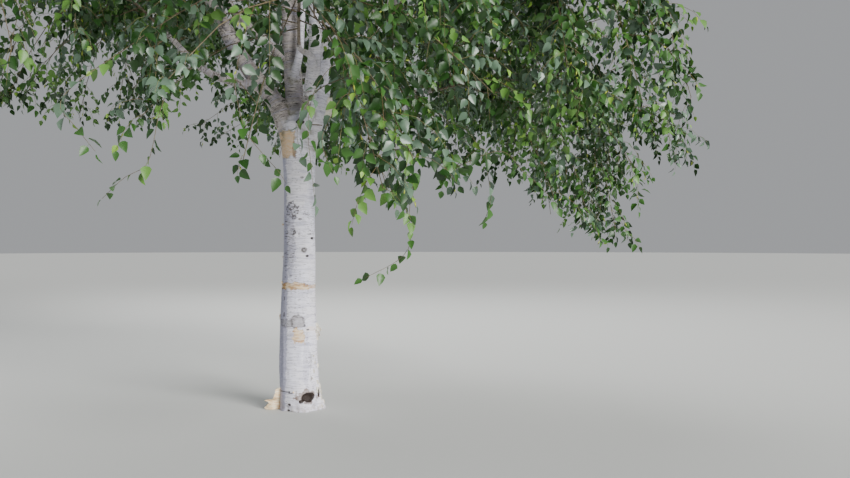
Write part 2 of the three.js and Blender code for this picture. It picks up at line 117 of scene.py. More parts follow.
twigs = {
    "stemSteps": 4, "stemStart": 0.00035, "stemProbe": 0.025, "stemWander": 0.2,
    "stemRadii": (0.0125, 0.0045), "perMass": 7, "between": 15,
    "length": 1.45, "radii": (0.0048, 0.0022), "droop": 0.2, "tries": 4, "tryTurn": 80, "golden": 137.5,
    "shortest": 0.5, "shorten": 0.125, "clearance": 0.025, "margin": 0.024, "sprayLength": 0.6,
    # the stretch of the stem that bears them, then a least value and what chance adds to it: degrees of
    # turn, degrees of opening and a share of the length, which falls along the stem
    "bearing": (0.08, 0.86), "turnChance": 40, "opening": (50, 22), "lengthChance": (0.85, 0.3),
    "lengthFall": (1.1, 0.4),
    # the shares of a twig at which its way has to be clear
    "probes": np.array([0.3, 0.5, 0.75, 1]),
}


def chance(seed):
    # the same small seeded source as the solids'
    def draw():
        nonlocal seed
        seed = (seed * 1664525 + 1013904223) % 4294967296
        return seed / 4294967296

    return draw


def unit(v):
    return v / np.maximum(np.linalg.norm(v, axis=-1, keepdims=True), 1e-9)


class grownLine:
    # a centripetal curve through points, or one cubic curve, read by its length
    def __init__(self, points, cubic=False):
        self.points = np.array(points, float)
        self.cubic = cubic
        self.steps = np.linspace(0, 1, 201)
        path = self.at(self.steps)
        self.heights = path[:, 2]
        self.run = np.concatenate([[0], np.cumsum(np.linalg.norm(np.diff(path, axis=0), axis=1))])
        self.length = self.run[-1]

    def at(self, t):
        p = self.points
        if self.cubic:
            t = np.asarray(t)[..., None]
            s = 1 - t
            return p[0] * s ** 3 + 3 * p[1] * s * s * t + 3 * p[2] * s * t * t + p[3] * t ** 3
        place = np.asarray(t) * (len(p) - 1)
        i = np.minimum(place.astype(int), len(p) - 2)
        w = (place - i)[..., None]
        longer = np.vstack([2 * p[0] - p[1], p, 2 * p[-1] - p[-2]])
        a, b, c, d = (longer[i + k] for k in range(4))
        pairs = ((a, b), (b, c), (c, d))
        ab, bc, cd = (np.linalg.norm(n - m, axis=-1, keepdims=True) ** 0.5 for m, n in pairs)
        t1 = ((b - a) / ab - (c - a) / (ab + bc) + (c - b) / bc) * bc
        t2 = ((c - b) / bc - (d - b) / (bc + cd) + (d - c) / cd) * bc
        return b + t1 * w + (3 * (c - b) - 2 * t1 - t2) * w ** 2 + (2 * (b - c) + t1 + t2) * w ** 3

    def stepAt(self, share):
        return np.interp(np.asarray(share) * self.length, self.run, self.steps)

    def shareAt(self, height):
        return np.interp(height, self.heights, self.run) / self.length

    def point(self, share):
        return self.at(self.stepAt(share))

    def tangent(self, share):
        t = self.stepAt(share)
        return unit(self.at(np.minimum(t + 1e-4, 1)) - self.at(np.maximum(t - 1e-4, 0)))

    def frames(self, shares):
        # places, and two directions across the curve that turn with it and never twist
        places, along = self.point(shares), self.tangent(shares)
        side = np.array([1.0, 0, 0]) if abs(along[0][0]) < 0.9 else np.array([0, 1.0, 0])
        sides = []
        for way in along:
            side = unit(side - way * side.dot(way))
            sides.append(side)
        sides = np.array(sides)
        return places, sides, np.cross(along, sides)


def crownReach(z):
    rise = np.clip((z - crown["widest"]) / (crown["height"] - crown["widest"]), 0, 1)
    fall = (crown["widest"] - z) / (crown["widest"] - crown["foot"])
    bend, ease = crown["shoulder"]
    above = crown["radius"] * np.power(1 - np.power(rise, bend), ease)
    return np.where(z > crown["widest"], above, crown["radius"] * (1 - crown["drawIn"] * fall * fall))


def footLiftTowards(places):
    turn = np.arctan2(places[..., 1], places[..., 0]) - crown["weepingTurn"]
    return crown["footLift"] * (1 - np.cos(turn)) / 2


def insideCrown(places):
    out = np.hypot(places[..., 0], places[..., 1])
    share = np.minimum(1, out / (crown["hangFrom"] * crown["radius"]))
    foot = crown["foot"] + footLiftTowards(places)
    underside = crown["footInside"] + (foot - crown["footInside"]) * share * share
    z = places[..., 2]
    return (out < crownReach(z)) & (z > underside) & (z < crown["height"])


def makeMasses():
    masses = []
    for level, (name, tier) in enumerate(tiers.items()):
        random = chance(100 + level)
        for k in range(tier["count"]):
            turn = math.radians(tier["turn"] + 360 * k / tier["count"] + scatter["turn"] * (random() - 0.5))
            ring = tier["ring"] * (1 + scatter["ring"] * (random() - 0.5))
            step = boughs["stagger"] * (-1 if k % 2 == 0 else 1) if tier["count"] > 1 else 0
            outward = np.array([math.cos(turn), math.sin(turn), 0])
            settled = tier["height"] + step + tier["follow"] * footLiftTowards(outward)
            height = settled + scatter["height"] * (random() - 0.5)
            masses.append({
                "name": f"foliage_{name}_{k + 1}", "tier": name, "habit": tier, "k": k, "outward": outward,
                "middle": outward * ring + up * height,
                "entry": outward * ring * boughs["entryShare"] + up * (height + tier["lift"]),
                "heading": unit(outward + up * tier["rise"]), "seed": 1000 + 37 * len(masses),
            })
    return masses


masses = makeMasses()
middles = np.array([mass["middle"] for mass in masses])


def marginInCell(places, index):
    # how far places lie inside a mass's own part of the crown
    toOwn = ((places - middles[index]) ** 2).sum(-1)
    margins = [(((places - other) ** 2).sum(-1) - toOwn) / (2 * np.linalg.norm(other - middles[index]))
               for other in np.delete(middles, index, 0)]
    return np.min(margins, axis=0)


def makeWood(name, line, radii, taper, rough=0.0):
    return {
        "name": name, "line": line, "rough": rough,
        "radius": lambda share: radii[1] + (radii[0] - radii[1]) * np.power(1 - np.asarray(share), taper),
    }


mainLimbs = [makeWood(name, grownLine(places), radii, limbTaper, rough)
             for name, (places, radii, rough) in limbs.items()]
limbNamed = {limb["name"]: limb for limb in mainLimbs}


def bestSpring(target):
    # the limb, and the share of it, from which a bough best reaches its mass
    first, last, step = boughs["spring"]
    best = (1e9, None, 0)
    for limb in mainLimbs:
        share = first
        while share < last:
            gap = target - limb["line"].point(share)
            slope = gap[2] / max(math.hypot(gap[0], gap[1]), 0.001)
            cost = np.linalg.norm(gap) + boughs["slopeWeight"] * abs(slope - boughs["slope"])
            if cost < best[0]:
                best = (cost, limb, share)
            share += step
    return best[1:]


def makeBough(mass):
    entry = mass["entry"]
    if mass["name"] in boughs["shown"]:
        limbName, height, between = boughs["shown"][mass["name"]]
        parent, share = limbNamed[limbName], 0
        while parent["line"].point(share)[2] < height:
            share += boughs["shareStep"]
        line = grownLine([parent["line"].point(share), *between, entry])
        radii = boughs["shownRadii"]
    else:
        parent, share = bestSpring(entry)
        foot = parent["line"].point(share)
        reach = np.linalg.norm(foot - entry)
        lead = boughs["lead"] * reach
        leave = foot + parent["line"].tangent(share) * lead
        line = grownLine([foot, leave, entry - mass["heading"] * lead, entry], cubic=True)
        slim, growth = boughs["foot"]
        footRadius = min(boughs["footShare"] * parent["radius"](share), slim + growth * reach)
        radii = (max(footRadius, boughs["tip"] + boughs["leastTaper"]), boughs["tip"])
    wood = makeWood(mass["name"].replace("foliage", "bough"), line, radii, 1, parent["rough"])
    wood["shown"] = mass["name"] in boughs["shown"]
    return wood


limbPlaces = np.vstack([limb["line"].point(np.linspace(0, 1, 41)) for limb in mainLimbs])
allBoughs = []
for mass in masses:
    carriers = boughs["onLimbs"].get(mass["tier"])
    if carriers:
        mass["bough"] = limbNamed[carriers[mass["k"]]]
        mass["entry"] = mass["bough"]["line"].point(1.0)
    else:
        while np.linalg.norm(limbPlaces - mass["entry"], axis=1).min() < boughs["shortest"]:
            mass["entry"] = mass["entry"] + mass["outward"] * boughs["entryStep"]
        mass["bough"] = makeBough(mass)
        allBoughs.append(mass["bough"])

woodPlaces = []
for wood in mainLimbs + allBoughs:
    shares = np.linspace(0, 1, max(2, math.ceil(wood["line"].length / 0.05)))
    reach = wood["radius"](shares) + twigs["clearance"]
    woodPlaces.append(np.column_stack([wood["line"].point(shares), reach]))
woodPlaces = np.vstack(woodPlaces)


def inParts(rows, size):
    # big arrays are measured against each other part by part
    return np.array_split(rows, len(rows) // size + 1)


def clearOfWood(places):
    clear = [(((part[:, None] - woodPlaces[:, :3]) ** 2).sum(-1) > woodPlaces[:, 3] ** 2).all(1)
             for part in inParts(places.reshape(-1, 3), 4000)]
    return np.concatenate(clear).reshape(places.shape[:-1])


print("skeleton laid out:", len(mainLimbs), "limbs,", len(allBoughs), "boughs,", len(masses), "masses")


def trunkAt(z):
    # lean and radius
    heights, leans, radii = (np.array(column) for column in zip(*trunk["levels"]))
    return np.interp(z, heights, leans), np.interp(z, heights, radii)


def lobesAt(angle, z):
    fade = max(0, 1 - z / trunk["lobeHeight"])
    return 1 + trunk["lobeDepth"] * fade * fade * math.cos(trunk["lobes"] * angle + trunk["lobeTurn"])


def noiseAt(x, y, z, scale=1.0):
    return noise.noise(Vector((x, y, z)) * scale)


def meshOf(name, bm):
    mesh = bpy.data.meshes.new(name)
    bm.to_mesh(mesh)
    bm.free()
    return mesh


def addObject(name, data):
    made = bpy.data.objects.new(name, data)
    bpy.context.scene.collection.objects.link(made)
    return made


def placePiece(name, mesh, materials, smooth=True):
    piece = addObject(name, mesh)
    for material in materials:
        mesh.materials.append(material)
    if smooth:
        mesh.polygons.foreach_set("use_smooth", np.ones(len(mesh.polygons), bool))
    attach(piece, "root")
    return piece


def vertexRows(mesh, kind):
    rows = np.empty(len(mesh.vertices) * 3)
    mesh.vertices.foreach_get(kind, rows)
    return rows.reshape(-1, 3)


def addColumn(bm, sides, rings):
    # a closed upright cylinder of unit size, cut into rings; its vertices are moved into place by the caller
    for v in bm.verts:
        v.tag = True
    made = bmesh.ops.create_cone(bm, cap_ends=True, cap_tris=False, segments=sides, radius1=1, radius2=1,
                                 depth=1)
    upright = dict.fromkeys(
        edge for v in made["verts"] for edge in v.link_edges
        if abs(edge.verts[0].co.z - edge.verts[1].co.z) > 0.5
    )
    bmesh.ops.subdivide_edges(bm, edges=list(upright), cuts=rings - 1)
    return [v for v in bm.verts if not v.tag]


# The fork: trunk and the feet of the limbs grown together as one skin. Heights within a rim of either end
# stay as they are cut.
fork = {
    "voxel": 0.009, "top": 3.8, "over": 0.1, "below": 0.05, "blend": 0.016, "samples": 121,
    "smoothReach": 0.045, "smoothPasses": 26, "evenPasses": 2, "rims": (0.02, 0.004, 0.003),
    "crotchReach": 0.03, "crotchFrom": 2.2,
    # sides and rings of limbs, then of slim wood; how much of a bough joins in, a little thicker
    "limbCuts": (40, 60), "slimCuts": (24, 40), "boughShare": 0.4, "boughSwell": 1.02,
    # slim second stems low on the limbs: places along each, radii of foot and tip, roughness
    "stems": [
        ([(-0.60, -0.07, 3.22), (-0.66, -0.09, 3.36), (-0.75, -0.16, 3.72), (-0.80, -0.2, 4.1)],
         (0.03, 0.014), 0.5),
        ([(-0.05, -0.02, 2.86), (0.02, -0.10, 3.1), (0.045, -0.12, 3.4), (0.08, -0.16, 3.95)],
         (0.04, 0.016), 0.2),
    ],
}
slimStems = [makeWood(f"stem_{k + 1}", grownLine(places), radii, 1, rough)
             for k, (places, radii, rough) in enumerate(fork["stems"])]


def trunkColumn(bm):
    for v in addColumn(bm, trunk["sides"], trunk["rings"]):
        z = -fork["below"] + (trunkTop + fork["below"]) * (v.co.z + 0.5)
        lean, radius = trunkAt(max(z, 0))
        out = radius * lobesAt(math.atan2(v.co.y, v.co.x), max(z, 0))
        rise = max(0, (z - trunk["forkStart"]) / (trunkTop - trunk["forkStart"]))
        spread = 1 + (trunk["forkSpread"] - 1) * rise
        v.co = (lean + v.co.x * out * spread, v.co.y * out / math.sqrt(spread), z)


def addTube(bm, wood, cuts, end=1.0, swell=1.0):
    sides, rings = cuts
    shares = end * np.linspace(0, 1, rings + 1)
    places, sideways, across = wood["line"].frames(shares)
    radii = wood["radius"](shares) * swell
    for v in addColumn(bm, sides, rings):
        ring = round((v.co.z + 0.5) * rings)
        v.co = places[ring] + (sideways[ring] * v.co.x + across[ring] * v.co.y) * radii[ring]


def remeshed(bm, voxel):
    rough = addObject("rough", meshOf("rough", bm))
    modifier = rough.modifiers.new("skin", "REMESH")
    modifier.mode = "VOXEL"
    modifier.voxel_size = voxel
    modifier.use_smooth_shade = True
    done = bpy.data.meshes.new_from_object(rough.evaluated_get(bpy.context.evaluated_depsgraph_get()))
    bpy.data.objects.remove(rough)
    return done


def woodLines():
    # every line of wood with samples along it, for telling which limb a place on the bark belongs to
    count = fork["samples"]
    shares = np.linspace(0, 1, count)
    heights = np.linspace(-0.1, trunkTop, count)
    lean, radius = trunkAt(np.maximum(heights, 0))
    lines = [{
        "places": np.column_stack([lean, lean * 0, heights]), "radius": radius, "run": heights, "rough": 0.0,
        "side": np.tile([1.0, 0, 0], (count, 1)), "across": np.tile([0, 1.0, 0], (count, 1)),
    }]
    for wood in mainLimbs + slimStems:
        places, side, across = wood["line"].frames(shares)
        lines.append({
            "places": places, "radius": wood["radius"](shares), "side": side, "across": across,
            "run": places[0][2] + shares * wood["line"].length, "rough": wood["rough"],
        })
    return lines


def barkPlaces(coords):
    # for each place: coordinates that run round and along its limb, how far it is up a limb, how near a
    # fork, and how rough the bark is
    lines = woodLines()
    gaps, places = [], []
    for line in lines:
        nearest = np.concatenate([((part[:, None] - line["places"]) ** 2).sum(-1).argmin(1)
                                  for part in inParts(coords, 8000)])
        offset = coords - line["places"][nearest]
        side, across = line["side"][nearest], line["across"][nearest]
        along = np.cross(side, across)
        slip = (offset * along).sum(1)
        offset -= along * slip[:, None]
        beyond = (nearest == 0) | (nearest == fork["samples"] - 1)
        gap = np.linalg.norm(offset, axis=1) - line["radius"][nearest]
        gaps.append(gap + np.where(beyond, np.abs(slip), 0))
        places.append(np.column_stack([
            (offset * side).sum(1), (offset * across).sum(1), line["run"][nearest] + slip,
        ]))
    gaps, places = np.array(gaps), np.array(places)
    weights = np.exp(-(gaps - gaps.min(0)) / fork["blend"])
    weights /= weights.sum(0)
    rough = np.array([line["rough"] for line in lines]) @ weights
    ordered = np.sort(gaps, axis=0)
    return (weights[:, :, None] * places).sum(0), 1 - weights[0], ordered[1] - ordered[0], rough


def addAttribute(mesh, name, values):
    kind, field = ("FLOAT_VECTOR", "vector") if values.ndim == 2 else ("FLOAT", "value")
    attribute = mesh.attributes.new(name, kind, "POINT")
    attribute.data.foreach_set(field, values.astype(np.float32).ravel())


# Relief of the bark: what is raised and sunk, in metres, at real places on the trunk
relief = {
    "swell": 0.0055, "swellScale": 3.2, "crease": 0.0016, "creaseScale": 26,
    "grain": 0.0007, "grainScale": 90,
    "limbsRougher": 1.3,
    "knots": [
        # x, z, radius, height of the rim
        (-0.02, 1.547, 0.020, 0.004), (0.118, 1.496, 0.014, 0.003), (0.057, 1.392, 0.022, 0.0045),
        (0.088, 1.34, 0.014, 0.004), (-0.035, 1.74, 0.03, 0.003), (-0.06, 0.062, 0.018, 0.004),
    ],
    "knotSink": 1.3,
    # scars elsewhere: turn round the trunk, z and radius
    "scars": [(150, 1.92, 0.03), (75, 1.15, 0.028), (215, 1.62, 0.024), (20, 0.86, 0.03), (110, 0.52, 0.026)],
    "scarRim": 0.004, "scarSink": 0.005,
    "hollow": {"place": (0.1, -0.16, 0.12), "size": (0.056, 0.05, 0.034), "depth": 0.034, "edge": 9},
    "foot": {"height": 0.34, "depth": 0.016},
    # an upright groove down the left side: turn, lower and upper end, how they fade, depth and half width
    "groove": {
        "turn": math.radians(212), "from": 0.2, "to": 1.08, "fade": 0.15, "depth": 0.007, "half": 0.016,
    },
}


def ringRelief(coords, place, tall, size, rim, rimWidth, sink):
    # a raised ring round a sunk middle
    far = np.linalg.norm((coords - place) * [1, 1, tall], axis=1) / size
    return rim * np.exp(-((far - 1) / rimWidth) ** 2) - sink * np.exp(-(far / 0.6) ** 2)


def reliefOf(coords, places, limbShare):
    height = np.zeros(len(coords))
    for i, (p, q) in enumerate(zip(coords, places)):
        broad = noiseAt(p[0] * 1.6, p[1] * 1.6, p[2] * 0.7, relief["swellScale"])
        crease = noiseAt(q[0] * 2.2, q[1] * 2.2, q[2] * relief["creaseScale"])
        grain = noiseAt(q[0] * 18, q[1] * 18, q[2] * relief["grainScale"])
        rough = 1 + relief["limbsRougher"] * limbShare[i]
        height[i] = (relief["swell"] * broad + relief["crease"] * crease * abs(crease) * 2 * rough
                     + relief["grain"] * grain * rough)
    for x, z, size, rim in relief["knots"]:
        lean, radius = trunkAt(z)
        place = np.array([x, -math.sqrt(max(radius ** 2 - (x - lean) ** 2, 0.0004)), z])
        height += ringRelief(coords, place, 1.25, size, rim, 0.45, rim * relief["knotSink"])
    for turn, z, size in relief["scars"]:
        lean, radius = trunkAt(z)
        angle = math.radians(turn)
        place = np.array([lean + radius * math.cos(angle), radius * math.sin(angle), z])
        height += ringRelief(coords, place, 1.3, size, relief["scarRim"], 0.4, relief["scarSink"])
    hollow = relief["hollow"]
    far = np.linalg.norm((coords - hollow["place"]) / hollow["size"], axis=1)
    height -= hollow["depth"] / (1 + np.exp(np.minimum((far - 1) * hollow["edge"], 50)))
    foot = relief["foot"]
    low = np.clip(1 - coords[:, 2] / foot["height"], 0, 1) * (1 - limbShare)
    folds = [noiseAt(p[0] * 14, p[1] * 14, p[2] * 4) for p in coords]
    height += foot["depth"] * low ** 1.5 * np.array(folds)
    groove = relief["groove"]
    x, y, z = coords.T
    turn = np.arctan2(y, x) % (2 * math.pi) - groove["turn"] - 0.1 * np.sin(z * 4)
    beside = np.hypot(x, y) * turn / groove["half"]
    ends = (np.clip((z - groove["from"]) / groove["fade"], 0, 1)
            * np.clip((groove["to"] - z) / groove["fade"], 0, 1))
    height += groove["depth"] * ends * (0.5 * np.exp(-((np.abs(beside) - 1.7) ** 2)) - np.exp(-beside ** 2))
    return height


def smoothVerts(bm, verts, passes):
    for _ in range(passes):
        bmesh.ops.smooth_vert(bm, verts=verts, factor=0.5, use_axis_x=True, use_axis_y=True, use_axis_z=True)


def makeFork(material):
    bm = bmesh.new()
    trunkColumn(bm)
    for wood in mainLimbs:
        addTube(bm, wood, fork["limbCuts"], wood["line"].shareAt(fork["top"] + fork["over"]))
    for wood in slimStems:
        addTube(bm, wood, fork["slimCuts"])
    for wood in allBoughs:
        if wood["shown"]:
            addTube(bm, wood, fork["slimCuts"], fork["boughShare"], fork["boughSwell"])
    mesh = remeshed(bm, fork["voxel"])
    bm = bmesh.new()
    bm.from_mesh(mesh)
    for height, away in ((0, -1), (fork["top"], 1)):
        bmesh.ops.bisect_plane(bm, geom=bm.verts[:] + bm.edges[:] + bm.faces[:], plane_co=(0, 0, height),
                               plane_no=(0, 0, away), clear_outer=True)
    near = barkPlaces(np.array([v.co for v in bm.verts]))[2]
    far, rim, edge = fork["rims"]
    crotch = [v for v, gap in zip(bm.verts, near)
              if gap < fork["smoothReach"] and far < v.co.z < fork["top"] - far]
    smoothVerts(bm, crotch, fork["smoothPasses"])
    # chosen only now, because the passes before have moved some
    inner = [v for v in bm.verts if rim < v.co.z < fork["top"] - rim]
    smoothVerts(bm, inner, fork["evenPasses"])
    bmesh.ops.holes_fill(bm, edges=[e for e in bm.edges if e.is_boundary], sides=0)
    bm.to_mesh(mesh)
    bm.free()
    coords = vertexRows(mesh, "co")
    places, limbShare, near, rough = barkPlaces(coords)
    height = reliefOf(coords, places, limbShare) * np.clip(coords[:, 2] / rim, 0, 1)
    moved = vertexRows(mesh, "normal") * height[:, None]
    moved[:, 2] *= (coords[:, 2] > edge) & (coords[:, 2] < fork["top"] - edge)
    mesh.vertices.foreach_set("co", (coords + moved).ravel())
    crotch = np.clip(1 - near / fork["crotchReach"], 0, 1) * (coords[:, 2] > fork["crotchFrom"])
    for name, values in (("barkPlace", places), ("roughness", rough), ("crotch", crotch)):
        addAttribute(mesh, name, values)
    piece = placePiece("trunk_and_fork", mesh, [material])
    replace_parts(piece, "trunk", *[limb["name"] for limb in mainLimbs])
    print("trunk and fork:", len(mesh.polygons), "faces")


def addBarkTube(bm, wood, sides, rings, start, placeLayer, roughLayer):
    # wood as a tube of its own, rough like the fork's skin, with its bark coordinates
    line, isBough = wood["line"], "shown" in wood
    shares = start + (1 - start) * np.linspace(0, 1, rings + 1)
    places, sideways, across = line.frames(shares)
    radii = wood["radius"](shares)
    if isBough:
        radii = radii * (1 + boughs["collar"] * np.exp(-shares * line.length / boughs["collarReach"]))
    bottom = places[0][2]
    # a bough is as rough as its limb where it leaves it
    farther = boughs["farRoughness"] if isBough else wood["rough"]
    for v in addColumn(bm, sides, rings):
        ring = round((v.co.z + 0.5) * rings)
        x, y = v.co.x * radii[ring], v.co.y * radii[ring]
        run = bottom + (shares[ring] - start) * line.length
        swell = 1
        for depth, aside, upwards in boughs["lumps"]:
            swell += depth * noiseAt(x * aside, y * aside, run * upwards)
        v.co = places[ring] + (sideways[ring] * x + across[ring] * y) * swell
        v[placeLayer] = (x, y, run)
        v[roughLayer] = np.interp(run - bottom, boughs["roughens"], [wood["rough"], farther])


def makeLimbs(material):
    # the limbs start a little below the top of the fork's skin, the boughs on their limbs
    made = []
    for name, woods, sides, rings in (
        ("limbs_upper", mainLimbs, 20, 90),
        ("boughs", allBoughs, boughs["sides"], boughs["rings"]),
    ):
        bm = bmesh.new()
        layers = (bm.verts.layers.float_vector.new("barkPlace"), bm.verts.layers.float.new("roughness"))
        for wood in woods:
            start = 0 if "shown" in wood else wood["line"].shareAt(fork["top"] - 0.03)
            addBarkTube(bm, wood, sides, rings, start, *layers)
        made.append(placePiece(name, meshOf(name, bm), [material]))
    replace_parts(made[1], *[wood["name"] for wood in allBoughs])
    print("limbs and boughs:", sum(len(piece.data.polygons) for piece in made), "faces")


# Growth of the masses: stem, twigs, shoots and leaves, by the solids' rule and on to finer ones
def growStem(mass, random):
    direction = mass["bough"]["line"].tangent(1.0)
    points = [mass["entry"] + direction * twigs["stemStart"]]
    far = points[0]
    while insideCrown(far):
        far = far + mass["heading"] * twigs["stemProbe"]
    step = (np.linalg.norm(far - points[0]) - twigs["sprayLength"]) / twigs["stemSteps"]
    for i in range(twigs["stemSteps"]):
        wander = np.array([random() - 0.5, random() - 0.5, random() - 0.5])
        points.append(points[i] + direction * step)
        if i == 0:
            direction = (direction + mass["heading"]) / 2
        direction = unit(direction + wander * twigs["stemWander"] - up * mass["habit"]["droop"])
    return grownLine(points)


def acrossOf(along):
    plain = np.where(np.abs(along[..., 2:3]) < 0.9, np.cross(along, up), np.array([1.0, 0, 0]))
    return unit(plain - along * (plain * along).sum(-1, keepdims=True))


def bentLine(foot, along, turn, opening, length, droop):
    # points of twigs that leave at an opening angle, at a turn round their parent, and bend down
    turn, opening, length = (np.asarray(value)[..., None] for value in (turn, opening, length))
    across = acrossOf(along)
    sideways = across * np.cos(turn) + np.cross(along, across) * np.sin(turn)
    direction = along * np.cos(opening) + sideways * np.sin(opening)
    points = [foot]
    for _ in range(3):
        points.append(points[-1] + direction * length / 3)
        direction = unit(direction - up * droop)
    return np.stack(points, -2)


def growTwigs(mass, index, stem, random, count):
    grown = []
    (first, stretch), (narrow, wider) = twigs["bearing"], twigs["opening"]
    (longest, fall), (least, more) = twigs["lengthFall"], twigs["lengthChance"]
    for k in range(count):
        share = first + stretch * (k + 0.5) / count
        turn = k * twigs["golden"] + twigs["turnChance"] * random()
        opening = math.radians(narrow + wider * random())
        length = twigs["length"] * (longest - fall * share) * (least + more * random())
        droop = twigs["droop"] * mass["habit"]["pull"]
        kept = None
        for attempt in range(twigs["tries"]):
            angle = math.radians(turn + attempt * twigs["tryTurn"])
            line = grownLine(bentLine(stem.point(share), stem.tangent(share), angle, opening, length, droop))
            keep = 1.0
            while kept is None and keep >= twigs["shortest"]:
                places = line.point(twigs["probes"] * keep)
                inCell = marginInCell(places, index) > twigs["margin"]
                if (insideCrown(places) & inCell & clearOfWood(places)).all():
                    kept = grownLine(line.point(np.array([0, 0.5, 1]) * keep))
                keep -= twigs["shorten"]
            if kept is not None:
                grown.append(kept)
                break
    return grown


# Twigs that stand on the limbs and boughs themselves and fill the middle of the crown and its crest. Each
# row: the height and the share of the limb from which they stand, then their spacing, length and opening.
limbTwigs = {
    "limbs": (4.1, 0, 0.19, 1.2, (46, 74)),
    "crest": (7.9, 0, 0.095, 1.15, (60, 92)),
    "boughs": (2.7, 0.4, 0.19, 0.95, (46, 74)),
    "droop": 0.1,
}


def growLimbTwigs():
    # each twig counts to the mass whose middle is nearest
    grown = [[] for _ in masses]
    topStem = growStem(masses[-1], chance(masses[-1]["seed"]))
    rows = [("limbs", wood["line"]) for wood in mainLimbs] + [("boughs", wood["line"]) for wood in allBoughs]
    rows += [("crest", mainLimbs[0]["line"]), ("crest", topStem)]
    for number, (kind, line) in enumerate(rows):
        height, fromShare, spacing, reach, openings = limbTwigs[kind]
        random = chance(500 + number)
        below = (line.heights < height).sum()
        first = max(line.run[min(below, len(line.run) - 1)], fromShare * line.length)
        for k in range(int((line.length - first) / spacing)):
            share = (first + (k + 0.8 * random()) * spacing) / line.length
            opening = np.radians(np.interp(random(), [0, 1], openings))
            length = reach * (0.75 + 0.5 * random())
            wanted = random()
            foot, along = line.point(share), line.tangent(share)
            for attempt in range(twigs["tries"]):
                angle = math.radians(k * twigs["golden"] + attempt * twigs["tryTurn"])
                twig = grownLine(bentLine(foot, along, angle, opening, length, limbTwigs["droop"]))
                places = twig.point(twigs["probes"])
                if insideCrown(places).all() and clearOfWood(places).all():
                    if wanted < keptInGlades(places).mean() ** 2:
                        grown[np.linalg.norm(middles - places[2], axis=1).argmin()].append(twig)
                    break
    return grown


# Long strands that hang low in front, each through these places from the nearest twig down
strands = {
    "spacing": 0.05, "piece": 0.24, "radii": (0.0028, 0.0011), "cuts": (25, 4),
    # fewer dark and more fresh leaves than elsewhere: painted light that makes the strands in front look lit
    "tints": [0.12, 0.34, 0.32, 0.22],
    "places": [
        [(-0.414, -2.5, 2.36), (-0.455, -2.5, 2.196), (-0.487, -2.5, 2.032), (-0.52, -2.52, 1.915),
         (-0.637, -2.54, 1.844), (-0.76, -2.56, 1.721)],
        [(-0.815, -3.0, 2.198), (-0.736, -3.0, 2.083), (-0.678, -3.0, 2.009), (-0.63, -3.0, 1.95)],
        [(0.041, -2.7, 2.381), (0.067, -2.72, 2.221), (0.111, -2.74, 2.084), (0.204, -2.76, 1.965),
         (0.302, -2.78, 1.857), (0.34, -2.78, 1.797)],
        [(0.977, -2.6, 2.859), (0.749, -2.7, 2.572), (0.586, -2.8, 2.429), (0.506, -2.9, 2.268),
         (0.485, -2.95, 2.068), (0.504, -2.97, 1.88), (0.527, -2.98, 1.678)],
        [(0.669, -2.8, 2.28), (0.603, -2.95, 2.132), (0.566, -3.0, 2.009), (0.595, -3.02, 1.902),
         (0.633, -3.03, 1.827)],
        [(0.507, -2.7, 2.325), (0.45, -2.85, 2.179), (0.419, -2.9, 2.047), (0.441, -2.9, 1.95)],
        [(0.975, -2.3, 2.029), (1.03, -2.3, 1.9), (1.012, -2.3, 1.621), (1.02, -2.3, 1.46),
         (0.96, -2.32, 1.37), (0.744, -2.36, 1.25)],
        [(1.47, -2.2, 2.05), (1.50, -2.2, 1.878), (1.52, -2.2, 1.742), (1.482, -2.2, 1.605)],
        [(1.612, -2.0, 2.05), (1.74, -2.02, 1.92), (1.85, -2.04, 1.82), (1.95, -2.06, 1.70)],
    ],
}


def growStrands(index, lines):
    # the strands whose upper ends are nearest to this mass, cut into pieces that bear leaves as shoots do
    ends = np.vstack([line.point(np.linspace(0.3, 1, 15)) for line in lines])
    grown, pieces = [], [np.empty((0, 4, 3))]
    for places in strands["places"]:
        first = np.array(places[0])
        if np.linalg.norm(middles - first, axis=1).argmin() == index:
            line = grownLine([ends[np.linalg.norm(ends - first, axis=1).argmin()], *places])
            count = math.ceil(line.length / strands["piece"])
            pieces.append(line.point((np.arange(count)[:, None] + np.arange(4) / 3) / count))
            grown.append(line)
    return grown, np.concatenate(pieces)


shoots = {
    "spacing": 0.055, "first": 0.1, "firstOnStem": 0.12, "length": (0.22, 0.46),
    "hang": 1.35, "hangBelow": 4.2, "lengthFall": (1.1, 0.5), "droopPull": (0.5, 0.6),
    "droop": 0.34, "radii": (0.0022, 0.001), "opening": (32, 68), "overlap": 0.2,
}
leaves = {
    "spacing": 0.0345, "length": (0.056, 0.092), "stalk": 0.3, "hang": 0.75, "fold": 0.34, "bend": 0.24,
    # tints: shares of shoots in the dark, mid, fresh and grey green tints; the grey green leaves are a
    # painted sheen
    "sway": 0.24, "tilt": 0.52, "overlap": 0.25, "tints": [0.33, 0.31, 0.13, 0.23],
    # which way a blade points and faces: outwards from the shoot, along it, down, and out of the crown
    "out": 0.85, "along": 0.35, "roll": 0.5, "fall": (0.1, 1.6), "faceOut": (0.1, 1.0), "faceUp": (0.2, 1.1),
    "endSmaller": 0.18, "middleLarger": 0.14,
    # young leaves: how many of those near a shoot's end, and their size
    "young": 0.09, "youngFrom": 0.8, "youngSize": 0.72, "mostFaces": 190000,
}

